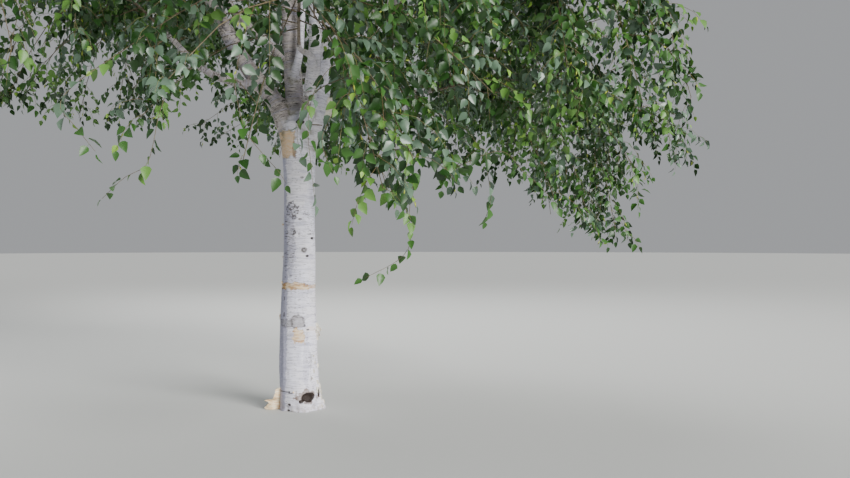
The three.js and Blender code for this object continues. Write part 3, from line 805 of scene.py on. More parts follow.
# The crown is thin where the limbs, the fork or the sky show through it: cones towards the viewer's side,
# each with its two ends, the radius at either, and the share of the shoots that stay
glades = [
    ((-0.43, -0.1, 3.05), (0.3, -3.6, 2.32), (0.72, 0.38), 0.27),
    ((0.14, -0.1, 2.58), (0.60, -3.6, 2.05), (0.24, 0.13), 0.12),
    ((-0.06, -0.05, 3.4), (0.5, -3.6, 2.48), (0.17, 0.1), 0.18),
    ((-3.72, 3.0, 3.88), (-0.74, -3.6, 2.39), (0.42, 0.17), 0.22),
    ((-2.71, 3.0, 3.54), (-0.34, -3.6, 2.27), (0.34, 0.13), 0.26),
    ((-1.33, 3.0, 2.92), (0.205, -3.6, 2.02), (0.24, 0.085), 0.15),
    ((-0.90, 3.0, 2.79), (0.365, -3.6, 1.97), (0.2, 0.07), 0.15),
]


def keptInGlades(places):
    # the share of shoots that stay at each place
    kept = np.ones(places.shape[:-1])
    for inner, outer, radii, share in glades:
        way = np.subtract(outer, inner)
        run = ((places - inner) @ way) / way.dot(way)
        gap = np.linalg.norm(places - inner - run[..., None] * way, axis=-1)
        inside = (run > 0) & (gap < np.interp(run, [0, 1], radii))
        kept = np.where(inside, np.minimum(kept, share), kept)
    return kept


def growShoots(mass, index, lines, rng):
    # shoots stand all along stem and twigs; those of the skirt hang longest
    feet, alongs, reach = [], [], []
    longest, fall = shoots["lengthFall"]
    for line, first in lines:
        count = max(2, int(line.length * (1 - first) / shoots["spacing"]))
        shares = first + (1 - first) * (np.arange(count) + 0.5 * rng.random(count)) / (count - 0.5)
        shares = np.minimum(shares, 1)
        feet.append(line.point(shares))
        alongs.append(line.tangent(shares))
        reach.append(longest - fall * shares)
    feet, alongs, reach = np.vstack(feet), np.vstack(alongs), np.concatenate(reach)
    n = len(feet)
    turn = np.arange(n) * math.radians(twigs["golden"]) + rng.random(n)
    opening = np.radians(rng.uniform(*shoots["opening"], n))
    low = np.clip((shoots["hangBelow"] - feet[:, 2]) / 2, 0, 1)
    length = rng.uniform(*shoots["length"], n) * reach * (1 + (shoots["hang"] - 1) * low)
    least, more = shoots["droopPull"]
    droop = shoots["droop"] * (least + more * mass["habit"]["pull"])
    points = bentLine(feet, alongs, turn, opening, length, droop)
    fits = insideCrown(points[:, -1]) & (marginInCell(points[:, -1], index) > -shoots["overlap"])
    fits &= clearOfWood(points[:, 1:]).all(1)
    fits &= rng.random(n) < keptInGlades(points[:, 1:]).min(1)
    return points[fits], length[fits]


def growLeaves(points, length, spacing, rng):
    # leaves stand left and right along each shoot, on stalks, and hang from it
    counts = np.maximum(3, (length / spacing).astype(int))
    shoot = np.repeat(np.arange(len(points)), counts)
    place = np.concatenate([(np.arange(c) + 1) / c for c in counts])
    last = place > 0.999
    side = np.where(np.concatenate([np.arange(c) for c in counts]) % 2 == 0, 1.0, -1.0)
    n = len(shoot)
    run = place * 3
    piece = np.minimum(run.astype(int), 2)
    start, end = points[shoot, piece], points[shoot, piece + 1]
    root = start + (end - start) * (run - piece)[:, None]
    along = unit(end - start)
    flat = unit(np.cross(along, up) + 1e-6)
    roll = rng.uniform(-leaves["roll"], leaves["roll"], n)
    out = unit(flat * side[:, None] + np.cross(along, flat) * roll[:, None])
    out = np.where(last[:, None], along, out)
    size = rng.uniform(*leaves["length"], n) * (1 - leaves["endSmaller"] * last)
    size = size * (1 - leaves["middleLarger"] + leaves["middleLarger"] * np.sin(place * 3.1))
    fall = up * rng.uniform(*leaves["fall"], n)[:, None] * leaves["hang"]
    axis = out * leaves["out"] + along * leaves["along"] - fall
    axis = unit(axis + rng.normal(0, leaves["sway"], (n, 3)))
    outward = unit(root * [1, 1, 0] + 1e-6)
    facing = outward * rng.uniform(*leaves["faceOut"], n)[:, None]
    facing = facing + up * rng.uniform(*leaves["faceUp"], n)[:, None]
    facing = facing + rng.normal(0, leaves["tilt"], (n, 3))
    normal = unit(facing - axis * (facing * axis).sum(1)[:, None])
    return {"root": root, "axis": axis, "normal": normal, "size": size, "shoot": shoot, "place": place}


def leafShape(rows):
    # an ovate blade one unit long in front of its stalk: faces fan out from the midrib, which lies lowest
    stalk = leaves["stalk"]
    rim = [(0, 0, 0)] + [(-half, run, 0) for run, half in rows] + [(0, 1, 0)]
    rim += [(half, run, 0) for run, half in reversed(rows)]
    verts = np.array([(0, 0.42, 0), *rim, (-0.012, -stalk, 0), (0.012, -stalk, 0), (0, 0.1, 0)], float)
    verts[:, 2] = leaves["fold"] * np.abs(verts[:, 0]) - leaves["bend"] * verts[:, 1] ** 2
    verts[:, 1] += stalk
    count = len(rim)
    fan = [(0, 1 + (k + 1) % count, 1 + k) for k in range(count)]
    return verts, np.array(fan + [(count + 1, count + 2, count + 3)])


# Where the blade's edge runs: places along it and half its width there
fineLeaf = leafShape([(0.1, 0.21), (0.34, 0.36), (0.7, 0.22)])
plainLeaf = leafShape([(0.25, 0.34), (0.62, 0.25)])


def meshFromArrays(name, verts, faces, slots):
    # triangles only, joined as one mesh
    mesh = bpy.data.meshes.new(name)
    mesh.vertices.add(len(verts))
    mesh.vertices.foreach_set("co", verts.astype(np.float32).ravel())
    mesh.loops.add(len(faces) * 3)
    mesh.loops.foreach_set("vertex_index", faces.astype(np.int32).ravel())
    mesh.polygons.add(len(faces))
    mesh.polygons.foreach_set("loop_start", np.arange(0, len(faces) * 3, 3, dtype=np.int32))
    mesh.polygons.foreach_set("material_index", slots.astype(np.int32))
    mesh.update(calc_edges=True)
    return mesh


def leafMesh(name, grown, shape):
    shapeVerts, shapeFaces = shape
    side = np.cross(grown["axis"], grown["normal"])
    axes = np.stack([side, grown["axis"], grown["normal"]], 1) * grown["size"][:, None, None]
    verts = grown["root"][:, None] + shapeVerts[None] @ axes
    faces = shapeFaces[None] + (np.arange(len(side)) * len(shapeVerts))[:, None, None]
    slots = np.repeat(grown["tint"], len(shapeFaces))
    return meshFromArrays(name, verts.reshape(-1, 3), faces.reshape(-1, 3), slots)


def tubesFromArrays(points, radii, sides, slot):
    # slim tubes along rows of points, each with one face across its thin end, all of one material
    n, steps = points.shape[:2]
    along = unit(np.gradient(points, axis=1))
    side = acrossOf(along)[:, :, None]
    across = np.cross(along, side[:, :, 0])[:, :, None]
    angles = (np.arange(sides) * 2 * math.pi / sides)[None, None, :, None]
    ring = side * np.cos(angles) + across * np.sin(angles)
    verts = points[:, :, None] + ring * radii[None, :, None, None]
    base = (np.arange(n) * steps * sides)[:, None, None, None]
    row = (np.arange(steps - 1) * sides)[None, :, None, None]
    k = np.arange(sides)
    nxt = (k + 1) % sides
    quads = np.stack([np.stack([k, nxt, nxt + sides], -1), np.stack([k, nxt + sides, k + sides], -1)], 1)
    faces = (base + row + quads.reshape(1, 1, -1, 3)).reshape(-1, 3)
    last = base[:, 0, 0] + (steps - 1) * sides
    faces = np.vstack([faces, last + np.arange(3)])
    return verts.reshape(-1, 3), faces, np.full(len(faces), slot)


def joinTubes(name, parts, materials):
    verts, faces, slots = zip(*parts)
    starts = np.cumsum([0] + [len(v) for v in verts])
    faces = [rows + start for rows, start in zip(faces, starts)]
    mesh = meshFromArrays(name, np.vstack(verts), np.vstack(faces), np.concatenate(slots))
    return placePiece(name, mesh, materials)


# Slim yellow-green catkins on short stalks near the ends of some shoots, with their thickness along them
catkins = {
    "share": 0.25, "length": 0.036, "radius": 0.0052, "hang": 1.0, "sides": 3, "sway": 0.5,
    "lengthChance": (0.7, 1.25),
    "outline": [(0, 0.18), (0.35, 0.18), (0.5, 0.95), (0.85, 1), (1.25, 0.25)],
}


def growCatkins(points, rng):
    chosen = points[rng.random(len(points)) < catkins["share"]]
    start = chosen[:, 2] + (chosen[:, 3] - chosen[:, 2]) * rng.random((len(chosen), 1))
    way = unit(rng.normal(0, catkins["sway"], (len(chosen), 3)) - up * catkins["hang"])
    length = catkins["length"] * rng.uniform(*catkins["lengthChance"], len(chosen))[:, None, None]
    shares, widths = np.array(catkins["outline"]).T
    line = start[:, None] + way[:, None] * length * shares[None, :, None]
    return tubesFromArrays(line, catkins["radius"] * widths, catkins["sides"], 0)


def woodTubes(lines, radii, count, sides, slot):
    shares = np.linspace(0, 1, count)
    points = np.stack([line.point(shares) for line in lines])
    return tubesFromArrays(points, np.interp(shares, [0, 1], radii), sides, slot)


def growMass(mass, index, ownTwigs):
    # all that grows on one bough's end: lines of wood, then the leaves of every shoot
    random = chance(mass["seed"])
    stem = growStem(mass, random)
    kept = growTwigs(mass, index, stem, random, twigs["perMass"])
    rng = np.random.default_rng(mass["seed"])
    for line in growTwigs(mass, index, stem, chance(mass["seed"] + 7), twigs["between"]):
        if rng.random() < keptInGlades(line.point(np.array([0.3, 0.6, 0.9]))).mean() ** 2:
            kept.append(line)
    kept += ownTwigs
    lines = [(line, shoots["first"]) for line in kept] + [(stem, shoots["firstOnStem"])]
    points, length = growShoots(mass, index, lines, rng)
    grown = growLeaves(points, length, leaves["spacing"], rng)
    keep = insideCrown(grown["root"]) & (marginInCell(grown["root"], index) > -leaves["overlap"])
    grown = {key: value[keep] for key, value in grown.items()}
    hung, pieces = growStrands(index, kept)
    if hung:
        more = growLeaves(pieces, np.full(len(pieces), strands["piece"]), strands["spacing"], rng)
        more["shoot"] = more["shoot"] + len(points)
        grown = {key: np.concatenate([value, more[key]]) for key, value in grown.items()}
    # every shoot has one tint, and some of the leaves at its end are young
    tint = rng.choice(4, len(points), p=leaves["tints"])
    tint = np.append(tint, rng.choice(4, len(pieces), p=strands["tints"]))[grown["shoot"]]
    young = (grown["place"] > leaves["youngFrom"]) & (rng.random(len(tint)) < leaves["young"])
    grown["tint"] = np.where(young, 4, tint)
    grown["size"] = np.where(young, leaves["youngSize"], 1) * grown["size"]
    wood = [
        woodTubes([stem], twigs["stemRadii"], 9, 6, 0),
        woodTubes(kept, twigs["radii"], 6, 4, 1),
        tubesFromArrays(points, np.interp(np.arange(4), [0, 3], shoots["radii"]), 3, 2),
    ]
    if hung:
        wood.append(woodTubes(hung, strands["radii"], *strands["cuts"], 1))
    return wood, grown, growCatkins(points, rng)


def growCrown(twigMaterials, leafMaterials, catkinMaterial):
    groups = {}
    limbGrowth = growLimbTwigs()
    for index, mass in enumerate(masses):
        group = mass["tier"]
        if group in ("skirt", "lower"):
            group += "_front" if mass["middle"][1] < 0 else "_back"
        rows = groups.setdefault(group, {"names": [], "wood": [], "leaves": [], "catkins": []})
        wood, grown, spikes = growMass(mass, index, limbGrowth[index])
        rows["names"].append(mass["name"])
        rows["wood"] += wood
        rows["leaves"].append(grown)
        rows["catkins"].append(spikes)
    total = 0
    for group, rows in groups.items():
        shape = fineLeaf if group == "skirt_front" else plainLeaf
        joined = {key: np.concatenate([grown[key] for grown in rows["leaves"]])
                  for key in ("root", "axis", "normal", "size", "tint")}
        pieces = math.ceil(len(joined["root"]) * len(shape[1]) / leaves["mostFaces"])
        made = []
        for k in range(pieces):
            part = {key: np.array_split(value, pieces)[k] for key, value in joined.items()}
            mesh = leafMesh(f"leaves_{group}_{k + 1}", part, shape)
            made.append(placePiece(mesh.name, mesh, leafMaterials, smooth=False))
        made.append(joinTubes(f"twigs_{group}", rows["wood"], twigMaterials))
        made.append(joinTubes(f"catkins_{group}", rows["catkins"], [catkinMaterial]))
        for piece in made:
            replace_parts(piece, *rows["names"])
            total += len(piece.data.polygons)
        print(group, len(joined["root"]), "leaves,", [len(piece.data.polygons) for piece in made])
    print("crown:", total, "faces")


# Papery sheets that have come away from the bark: each is held along one edge and curls outwards
flakes = {
    "thickness": 0.0012, "ragged": 0.42, "across": 9, "up": 12, "sunk": 0.004, "lift": 0.12, "wavyEnd": 0.25,
    "bends": 60,
    "rows": [
        # height, turn round the trunk, width, height, how far it first stands off, curl, side it opens to
        (0.735, -8, 0.038, 0.032, 65, 40, 1), (0.70, -4, 0.058, 0.05, 78, 55, 1),
        (0.682, -16, 0.04, 0.03, 55, 130, 1), (0.655, -9, 0.066, 0.038, 70, 100, 1),
        (0.622, -5, 0.034, 0.045, 50, 90, 1), (0.20, -10, 0.024, 0.05, 60, 60, 1),
        (0.15, -14, 0.034, 0.05, 58, 70, 1), (0.175, -26, 0.026, 0.05, 60, 130, -1),
        (0.34, -35, 0.026, 0.032, 48, 95, 1), (0.41, -27, 0.022, 0.026, 50, 85, 1),
        (0.28, -42, 0.026, 0.03, 46, 110, -1), (0.47, -33, 0.02, 0.022, 45, 90, 1),
        (0.24, -22, 0.03, 0.034, 52, 80, 1), (0.375, -8, 0.02, 0.04, 50, 70, 1),
        (0.10, -18, 0.026, 0.045, 50, 75, 1), (0.062, -8, 0.02, 0.04, 62, 80, 1),
        (0.03, -22, 0.02, 0.03, 55, 60, 1), (1.615, 182, 0.022, 0.016, 70, 40, -1),
        (1.33, 184, 0.018, 0.013, 70, 40, -1), (0.8, 176, 0.03, 0.05, 50, 60, -1),
        (1.09, 100, 0.06, 0.045, 40, 140, 1), (0.92, 60, 0.06, 0.09, 45, 170, -1),
        (1.72, 130, 0.045, 0.06, 40, 180, 1), (0.42, 140, 0.07, 0.11, 40, 160, -1),
        (1.98, 42, 0.04, 0.05, 45, 170, 1), (1.11, 205, 0.03, 0.02, 40, 120, -1),
        (0.17, -100, 0.03, 0.02, 30, 160, 1),
    ],
    "limbFlap": {
        "limb": "limb_right", "share": 0.078, "turn": -28, "size": (0.085, 0.18), "off": 22, "curl": 40,
    },
}


def addFlake(bm, hold, outward, upright, size, off, curl, side, seed):
    # a small grid bent round an upright axis, held by its first column
    width, height = size
    sideways = np.cross(upright, outward) * side
    made = bmesh.ops.create_grid(bm, x_segments=flakes["across"], y_segments=flakes["up"], size=0.5)
    bends = flakes["bends"]
    steps = np.linspace(0, 1, bends + 1)
    angles = np.radians(off + curl * steps)
    across = np.concatenate([[0], np.cumsum(np.cos(angles[:-1]) / bends)])
    out = np.concatenate([[0], np.cumsum(np.sin(angles[:-1]) / bends)])
    for v in made["verts"]:
        u, rise = v.co.x + 0.5, v.co.y
        ragged = 1 - flakes["ragged"] * (0.5 + noiseAt(seed * 7.3, rise * 5, 0.5)) - 0.5 * rise * rise
        lift = flakes["lift"] * noiseAt(seed * 3.1, u * 2.5, rise * 2)
        end = 1 + flakes["wavyEnd"] * u * noiseAt(seed, u * 6, 3.7)
        reach = u * ragged
        place = hold + sideways * np.interp(reach, steps, across) * width
        place = place + outward * (np.interp(reach, steps, out) * width + lift * u * width)
        v.co = place + upright * rise * height * end


def placeSheet(name, bm, materials):
    piece = placePiece(name, meshOf(name, bm), materials)
    wall = piece.modifiers.new("thickness", "SOLIDIFY")
    wall.thickness = flakes["thickness"]
    wall.offset = 0
    wall.material_offset = 1
    wall.material_offset_rim = 1
    return piece


def makeFlakes(materials):
    bm = bmesh.new()
    for seed, (z, turn, width, height, off, curl, side) in enumerate(flakes["rows"]):
        lean, radius = trunkAt(z)
        angle = math.radians(turn)
        outward = np.array([math.cos(angle), math.sin(angle), 0])
        hold = outward * (radius * lobesAt(angle, z) - flakes["sunk"]) + np.array([lean, 0, z])
        addFlake(bm, hold, outward, up, (width, height), off, curl, side, seed)
    flap = flakes["limbFlap"]
    limb, share, angle = limbNamed[flap["limb"]], flap["share"], math.radians(flap["turn"])
    along = limb["line"].tangent(share)
    level = unit(np.cross(np.array([0, 1.0, 0]), along))
    outward = level * math.cos(angle) + np.cross(along, level) * math.sin(angle)
    hold = limb["line"].point(share) + outward * (limb["radius"](share) - flakes["sunk"])
    addFlake(bm, hold, outward, along, flap["size"], flap["off"], flap["curl"], 1, 41)
    placeSheet("bark_flakes", bm, materials)


# The large cream sheet beside the foot of the trunk, held along the trunk's left edge
footSheet = {
    "foot": (-0.152, -0.062), "height": 0.192, "across": 20, "up": 32, "turn": math.radians(-14),
    # how far the sheet reaches out at shares of its height
    "outline": [(0, 0.128), (0.06, 0.14), (0.2, 0.108), (0.33, 0.112), (0.44, 0.142), (0.5, 0.136),
                (0.55, 0.08), (0.62, 0.062), (0.8, 0.05), (0.93, 0.042), (1, 0.024)],
    "ragged": 0.14, "held": 0.02, "wave": 0.012, "crumple": 0.01, "curl": 0.05, "sag": 0.012,
}


def makeFootSheet(materials):
    sheet = footSheet
    bm = bmesh.new()
    made = bmesh.ops.create_grid(bm, x_segments=sheet["across"], y_segments=sheet["up"], size=0.5)
    heights, reaches = zip(*sheet["outline"])
    for v in made["verts"]:
        u, share = v.co.x + 0.5, v.co.y + 0.5
        reach = np.interp(share, heights, reaches) * (1 + sheet["ragged"] * noiseAt(2.1, share * 17, 0.3))
        out = u * (reach + sheet["held"])
        wave = sheet["wave"] * math.sin(out * 46 + share * 3.2)
        wave += sheet["crumple"] * noiseAt(out * 18, share * 4, 1)
        curl = sheet["curl"] * u * u * (0.4 + 0.6 * share)
        x = sheet["foot"][0] + sheet["held"] + sheet["curl"] * 0.2 * share - out * math.cos(sheet["turn"])
        y = sheet["foot"][1] - out * math.sin(sheet["turn"]) * 0.3 - curl + wave
        sag = sheet["sag"] * u * math.sin(share * 9) * (share > 0)
        v.co = (x, y, max(0.001, share * sheet["height"] + sag))
    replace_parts(placeSheet("bark_sheet", bm, materials), "bark_curl")


# Materials are put together from nodes by these few helpers
def put(tree, kind, values=None, **options):
    made = tree.nodes.new(kind)
    for name, value in options.items():
        setattr(made, name, value)
    for key, value in (values or {}).items():
        if isinstance(value, bpy.types.NodeSocket):
            tree.links.new(value, made.inputs[key])
        else:
            made.inputs[key].default_value = value
    return made


def maths(tree, operation, a, b=0.0, c=0.0):
    return put(tree, "ShaderNodeMath", {0: a, 1: b, 2: c}, operation=operation).outputs[0]


def times(tree, a, b):
    return maths(tree, "MULTIPLY", a, b)


def minus(tree, a, b):
    return maths(tree, "SUBTRACT", a, b)


def vectorMaths(tree, operation, a, b=(0, 0, 0)):
    made = put(tree, "ShaderNodeVectorMath", {0: a, 1: b}, operation=operation)
    return made.outputs["Value" if operation == "LENGTH" else "Vector"]


def smoothStep(tree, value, start, end):
    made = put(tree, "ShaderNodeMapRange", {"Value": value, "From Min": start, "From Max": end},
               interpolation_type="SMOOTHSTEP")
    return made.outputs["Result"]


def mixColour(tree, factor, a, b):
    return put(tree, "ShaderNodeMix", {0: factor, 6: a, 7: b}, data_type="RGBA").outputs[2]


def cover(tree, colour, tone, mask, strength):
    return mixColour(tree, times(tree, mask, strength), colour, tone)


def noiseOf(tree, place, scale, detail=2.0, stretch=None):
    if stretch:
        place = vectorMaths(tree, "MULTIPLY", place, stretch)
    return put(tree, "ShaderNodeTexNoise", {"Vector": place, "Scale": scale, "Detail": detail}).outputs["Fac"]


# Noise cut to masks with soft edges: its scale and detail, where the edge starts and ends, and how the
# place is stretched
barkPatches = {
    "crowd": (5.5, 2.0, 0.38, 0.62), "patchy": (7.0, 3.0, 0.47, 0.66), "limbTone": (13.0, 4.0, 0.4, 0.62),
    "shade": (9.0, 3.0, 0.5, 0.72, (1, 1, 0.35)), "smudge": (1.0, 3.0, 0.48, 0.7, (6, 6, 44)),
    "bare": (1.0, 3.0, 0.4, 0.62, (14, 14, 60)), "worn": (1.0, 4.0, 0.34, 0.6, (34, 34, 70)),
    "moss": (24.0, 4.0, 0.38, 0.6), "soil": (30.0, 4.0, 0.42, 0.62), "broken": (75.0, 2.0, 0.32, 0.46),
}


def patches(tree, place, name):
    scale, detail, start, end, *stretch = barkPatches[name]
    return smoothStep(tree, noiseOf(tree, place, scale, detail, *stretch), start, end)


def attributeOf(tree, name, output="Fac"):
    return put(tree, "ShaderNodeAttribute", attribute_name=name).outputs[output]


def newGroup(name, vectors, values, outputs):
    group = bpy.data.node_groups.new(name, "ShaderNodeTree")
    rows = ((vectors, "INPUT", "Vector"), (values, "INPUT", "Float"), (outputs, "OUTPUT", "Float"))
    for names, way, kind in rows:
        for socket in names:
            group.interface.new_socket(socket, in_out=way, socket_type="NodeSocket" + kind)
    return group, group.nodes.new("NodeGroupInput").outputs, group.nodes.new("NodeGroupOutput").inputs


def useGroup(tree, group, values):
    return put(tree, "ShaderNodeGroup", values, node_tree=group).outputs


# The pattern across the bark: how each part of it is stretched, then the values that shape it
barkPattern = {
    "dashes": (30, 30, 112), "streaks": (9, 9, 190), "spots": (62, 62, 105), "cracks": (17, 17, 130),
    "dashReach": (0.34, 0.04), "dashEdge": (-0.06, 0.1), "crowded": 0.75, "scattered": 0.25,
    # flecks start at this value of the noise, less a share of the roughness
    "spotStart": (0.67, 0.18), "crackStart": (0.72, 0.16), "softness": 0.05, "roughAllOver": (1.0, 1.3),
    "streakHeight": 0.6, "dashDepth": 0.5, "fleckDepth": 0.8,
}


def flecksOf(group, place, kind, detail, start, rough):
    base, fall = barkPattern[start]
    edge = minus(group, base, times(group, rough, fall))
    above = minus(group, noiseOf(group, place, 1.0, detail, barkPattern[kind]), edge)
    return smoothStep(group, above, 0.0, barkPattern["softness"])


def makeBarkRings():
    # short dashes that lie across the bark, fine streaks the same way, and flecks where it is rough
    group, given, results = newGroup(
        "bark rings", ["Place"], ["Rough"], ["Dash", "Streak", "Fleck", "Height"])
    place, rough, look = given["Place"], given["Rough"], barkPattern
    stretched = vectorMaths(group, "MULTIPLY", place, look["dashes"])
    cells = put(group, "ShaderNodeTexVoronoi", {"Vector": stretched, "Scale": 1.0})
    size = put(group, "ShaderNodeSeparateColor", {0: cells.outputs["Color"]}).outputs[0]
    reach = maths(group, "MULTIPLY_ADD", size, *look["dashReach"])
    dash = smoothStep(group, minus(group, reach, cells.outputs["Distance"]), *look["dashEdge"])
    crowd = times(group, maths(group, "MAXIMUM", patches(group, place, "crowd"), rough), look["crowded"])
    dash = times(group, dash, maths(group, "ADD", crowd, look["scattered"]))
    streak = noiseOf(group, place, 1.0, 3.0, look["streaks"])
    roughest = smoothStep(group, rough, *look["roughAllOver"])
    patchy = times(group, rough, maths(group, "MAXIMUM", patches(group, place, "patchy"), roughest))
    spots = flecksOf(group, place, "spots", 4.0, "spotStart", patchy)
    cracks = flecksOf(group, place, "cracks", 2.0, "crackStart", rough)
    fleck = maths(group, "MAXIMUM", spots, cracks)
    height = times(group, streak, look["streakHeight"])
    height = minus(group, height, times(group, dash, look["dashDepth"]))
    height = minus(group, height, times(group, fleck, look["fleckDepth"]))
    for name, socket in (("Dash", dash), ("Streak", streak), ("Fleck", fleck), ("Height", height)):
        group.links.new(socket, results[name])
    return group


def makePatchMask():
    # 1 inside a box or a round with ragged edges, 0 outside it, and a rim along the edge
    group, given, results = newGroup(
        "bark patch", ["Place", "Centre", "Half"], ["Ragged", "Round", "Rim width"], ["Mask", "Rim"])
    offset = vectorMaths(group, "SUBTRACT", given["Place"], given["Centre"])
    scaled = vectorMaths(group, "ABSOLUTE", vectorMaths(group, "DIVIDE", offset, given["Half"]))
    parts = put(group, "ShaderNodeSeparateXYZ", {0: scaled}).outputs
    square = maths(group, "MAXIMUM", maths(group, "MAXIMUM", parts[0], parts[1]), parts[2])
    far = put(group, "ShaderNodeMix", {0: given["Round"], 2: square, 3: vectorMaths(group, "LENGTH", scaled)})
    rag = times(group, minus(group, noiseOf(group, given["Place"], 24.0, 6.0), 0.5), 2.6)
    far = maths(group, "ADD", far.outputs[0], times(group, rag, given["Ragged"]))
    group.links.new(smoothStep(group, far, 1.06, 0.94), results["Mask"])
    rim = maths(group, "ABSOLUTE", minus(group, far, 1.0))
    group.links.new(smoothStep(group, rim, given["Rim width"], 0.02), results["Rim"])
    return group


barkRings = makeBarkRings()
patchMask = makePatchMask()

barkColours = {
    # lilac is a tone of the bark, and also painted shade in two of the marks below
    "white": (0.84, 0.835, 0.955, 1), "cream": (0.84, 0.82, 0.88, 1), "lilac": (0.375, 0.37, 0.495, 1),
    "dash": (0.12, 0.115, 0.13, 1), "fleck": (0.075, 0.066, 0.058, 1), "grey": (0.25, 0.24, 0.25, 1),
    "orange": (0.47, 0.26, 0.09, 1), "peach": (0.81, 0.63, 0.40, 1), "tan": (0.72, 0.515, 0.32, 1),
    "limb": (0.15, 0.115, 0.08, 1), "limbPale": (0.42, 0.355, 0.30, 1), "moss": (0.17, 0.16, 0.09, 1),
    # heartAndPaintedShade: the near-black of scars and knots, and painted shade in the hollow at the foot and
    # the fork's crevice
    "heartAndPaintedShade": (0.014, 0.007, 0.004, 1), "soil": (0.33, 0.27, 0.22, 1), "blush": (0.86, 0.72, 0.62, 1),
    "stale": (0.285, 0.268, 0.276, 1), "rust": (0.17, 0.105, 0.06, 1),
}
# How strongly each tone lies on the bark, and its bump
barkLook = {
    "shade": 0.4, "smudge": 0.5, "streak": 0.42, "dash": 0.7, "moss": 0.75, "fleck": 0.85, "soil": 0.6,
    "hole": 0.95, "ring": 0.6, "ringRim": 0.95, "markDepth": 1.2, "holeDepth": 1.5,
    "bump": 0.7, "bumpDepth": 0.0022,
}
# Marks on the bark: centre, half sizes, raggedness, roundness; then tone, its strength, that of the dark
# rim, and how flecked the mark is
barkMarks = [
    # painted shade: a lilac band down the left side of the trunk, the side away from the key light
    ((-0.16, -0.06, 0.9), (0.08, 0.2, 1.5), 0.3, 0.6, "lilac", 0.92, 0, 0),
    ((0.118, -0.14, 0.37), (0.004, 0.08, 0.10), 2.2, 0, "grey", 0.45, 0, 0),
    ((0.115, -0.1, 0.705), (0.055, 0.09, 0.022), 0.6, 1, "blush", 0.5, 0, 0),
    ((0.0145, -0.16, 0.772), (0.055, 0.07, 0.052), 0.4, 0.4, "stale", 0.8, 0.8, 0.35),
    ((-0.092, -0.12, 0.757), (0.056, 0.12, 0.033), 0.5, 0.3, "grey", 0.6, 0.5, 0.5),
    ((-0.03, 0, 1.081), (0.118, 9, 0.028), 0.75, 0, "bare", 0.95, 0.45, 0),
    ((0, 0, 1.073), (9, 9, 0.016), 0.6, 0, "bare", 0.7, 0.3, 0),
    ((0.02, -0.16, 0.653), (0.05, 0.06, 0.066), 0.6, 0.1, "bare", 0.95, 0.15, 0),
    # painted shade: a soft upright lilac band right of the middle in the lower half
    ((0.085, -0.15, 0.42), (0.028, 0.1, 0.22), 0.5, 1, "lilac", 0.4, 0, 0),
    ((-0.113, -0.1, 0.9), (0.004, 0.08, 0.1), 1.8, 0, "grey", 0.6, 0, 0),
    ((-0.09, -0.1, 2.315), (0.08, 0.14, 0.115), 0.4, 0.3, "tan", 1.0, 0.4, 0),
    ((-0.02, -0.13, 2.262), (0.016, 0.1, 0.075), 0.7, 0.5, "rust", 0.6, 0, 0),
    ((0.098, -0.15, 0.128), (0.092, 0.09, 0.056), 1.1, 1, "rust", 0.75, 0, 0.5),
    ((-0.044, -0.14, 1.735), (0.056, 0.09, 0.08), 0.6, 1, "lilac", 0.3, 0, 1.2),
    ((-0.072, -0.12, 1.47), (0.06, 0.1, 0.3), 0.6, 1, "lilac", 0.5, 0, 0.92),
    ((0.08, -0.13, 1.6), (0.07, 0.1, 0.16), 0.6, 1, "lilac", 0, 0, 0.62),
    ((0.11, -0.13, 0.33), (0.06, 0.1, 0.17), 0.7, 1, "lilac", 0, 0, 0.42),
    ((0.0, -0.17, 0.143), (0.013, 0.06, 0.032), 1.2, 1, "rust", 0.45, 0, 0),
    ((0.1, 0.1, 1.3), (0.09, 0.09, 0.5), 0.6, 1, "lilac", 0, 0, 0.8),
    ((0.085, -0.2, 2.645), (0.05, 0.14, 0.09), 1.3, 0.6, "limb", 0.65, 0, 0.9),
]
# Small dark places where the bark has torn or a twig has gone, and painted shade in the hollow at the foot
# and the crevice of the fork: centre, half sizes, raggedness and tone
barkHoles = [
    # the hollow at the foot: dark wood, its near-black deepened as painted shade
    ((0.105, -0.15, 0.121), (0.061, 0.09, 0.041), 0.2, "heartAndPaintedShade"),
    ((0.046, -0.17, 0.088), (0.022, 0.07, 0.015), 0.6, "heartAndPaintedShade"),
    ((-0.1, -0.14, 0.168), (0.042, 0.08, 0.006), 1.7, "dash"),
    ((-0.045, -0.16, 0.157), (0.02, 0.07, 0.005), 1.2, "dash"),
    ((-0.056, -0.17, 0.061), (0.014, 0.05, 0.010), 0.5, "heartAndPaintedShade"),
    ((-0.066, -0.17, 0.011), (0.013, 0.05, 0.008), 0.5, "heartAndPaintedShade"),
    ((0.07, -0.15, 0.737), (0.007, 0.05, 0.012), 1.0, "dash"),
    ((0.094, -0.14, 0.702), (0.013, 0.05, 0.007), 1.0, "dash"),
    ((-0.112, -0.1, 0.835), (0.007, 0.07, 0.028), 0.9, "dash"),
    ((-0.112, -0.1, 0.975), (0.006, 0.07, 0.02), 0.9, "dash"),
    ((0.181, -0.08, 0.155), (0.009, 0.08, 0.03), 0.9, "heartAndPaintedShade"),
    ((0.123, -0.07, 1.494), (0.011, 0.06, 0.010), 0.4, "heartAndPaintedShade"),
    ((0.088, -0.11, 1.339), (0.012, 0.06, 0.009), 0.5, "heartAndPaintedShade"),
    ((0.16, -0.13, 2.478), (0.075, 0.12, 0.0045), 1.0, "limb"),
    # painted shade in the crevice of the fork
    ((0.036, -0.13, 2.5), (0.04, 0.09, 0.028), 0.8, "heartAndPaintedShade"),
    ((0.075, -0.13, 2.56), (0.012, 0.09, 0.05), 1.1, "rust"),
]
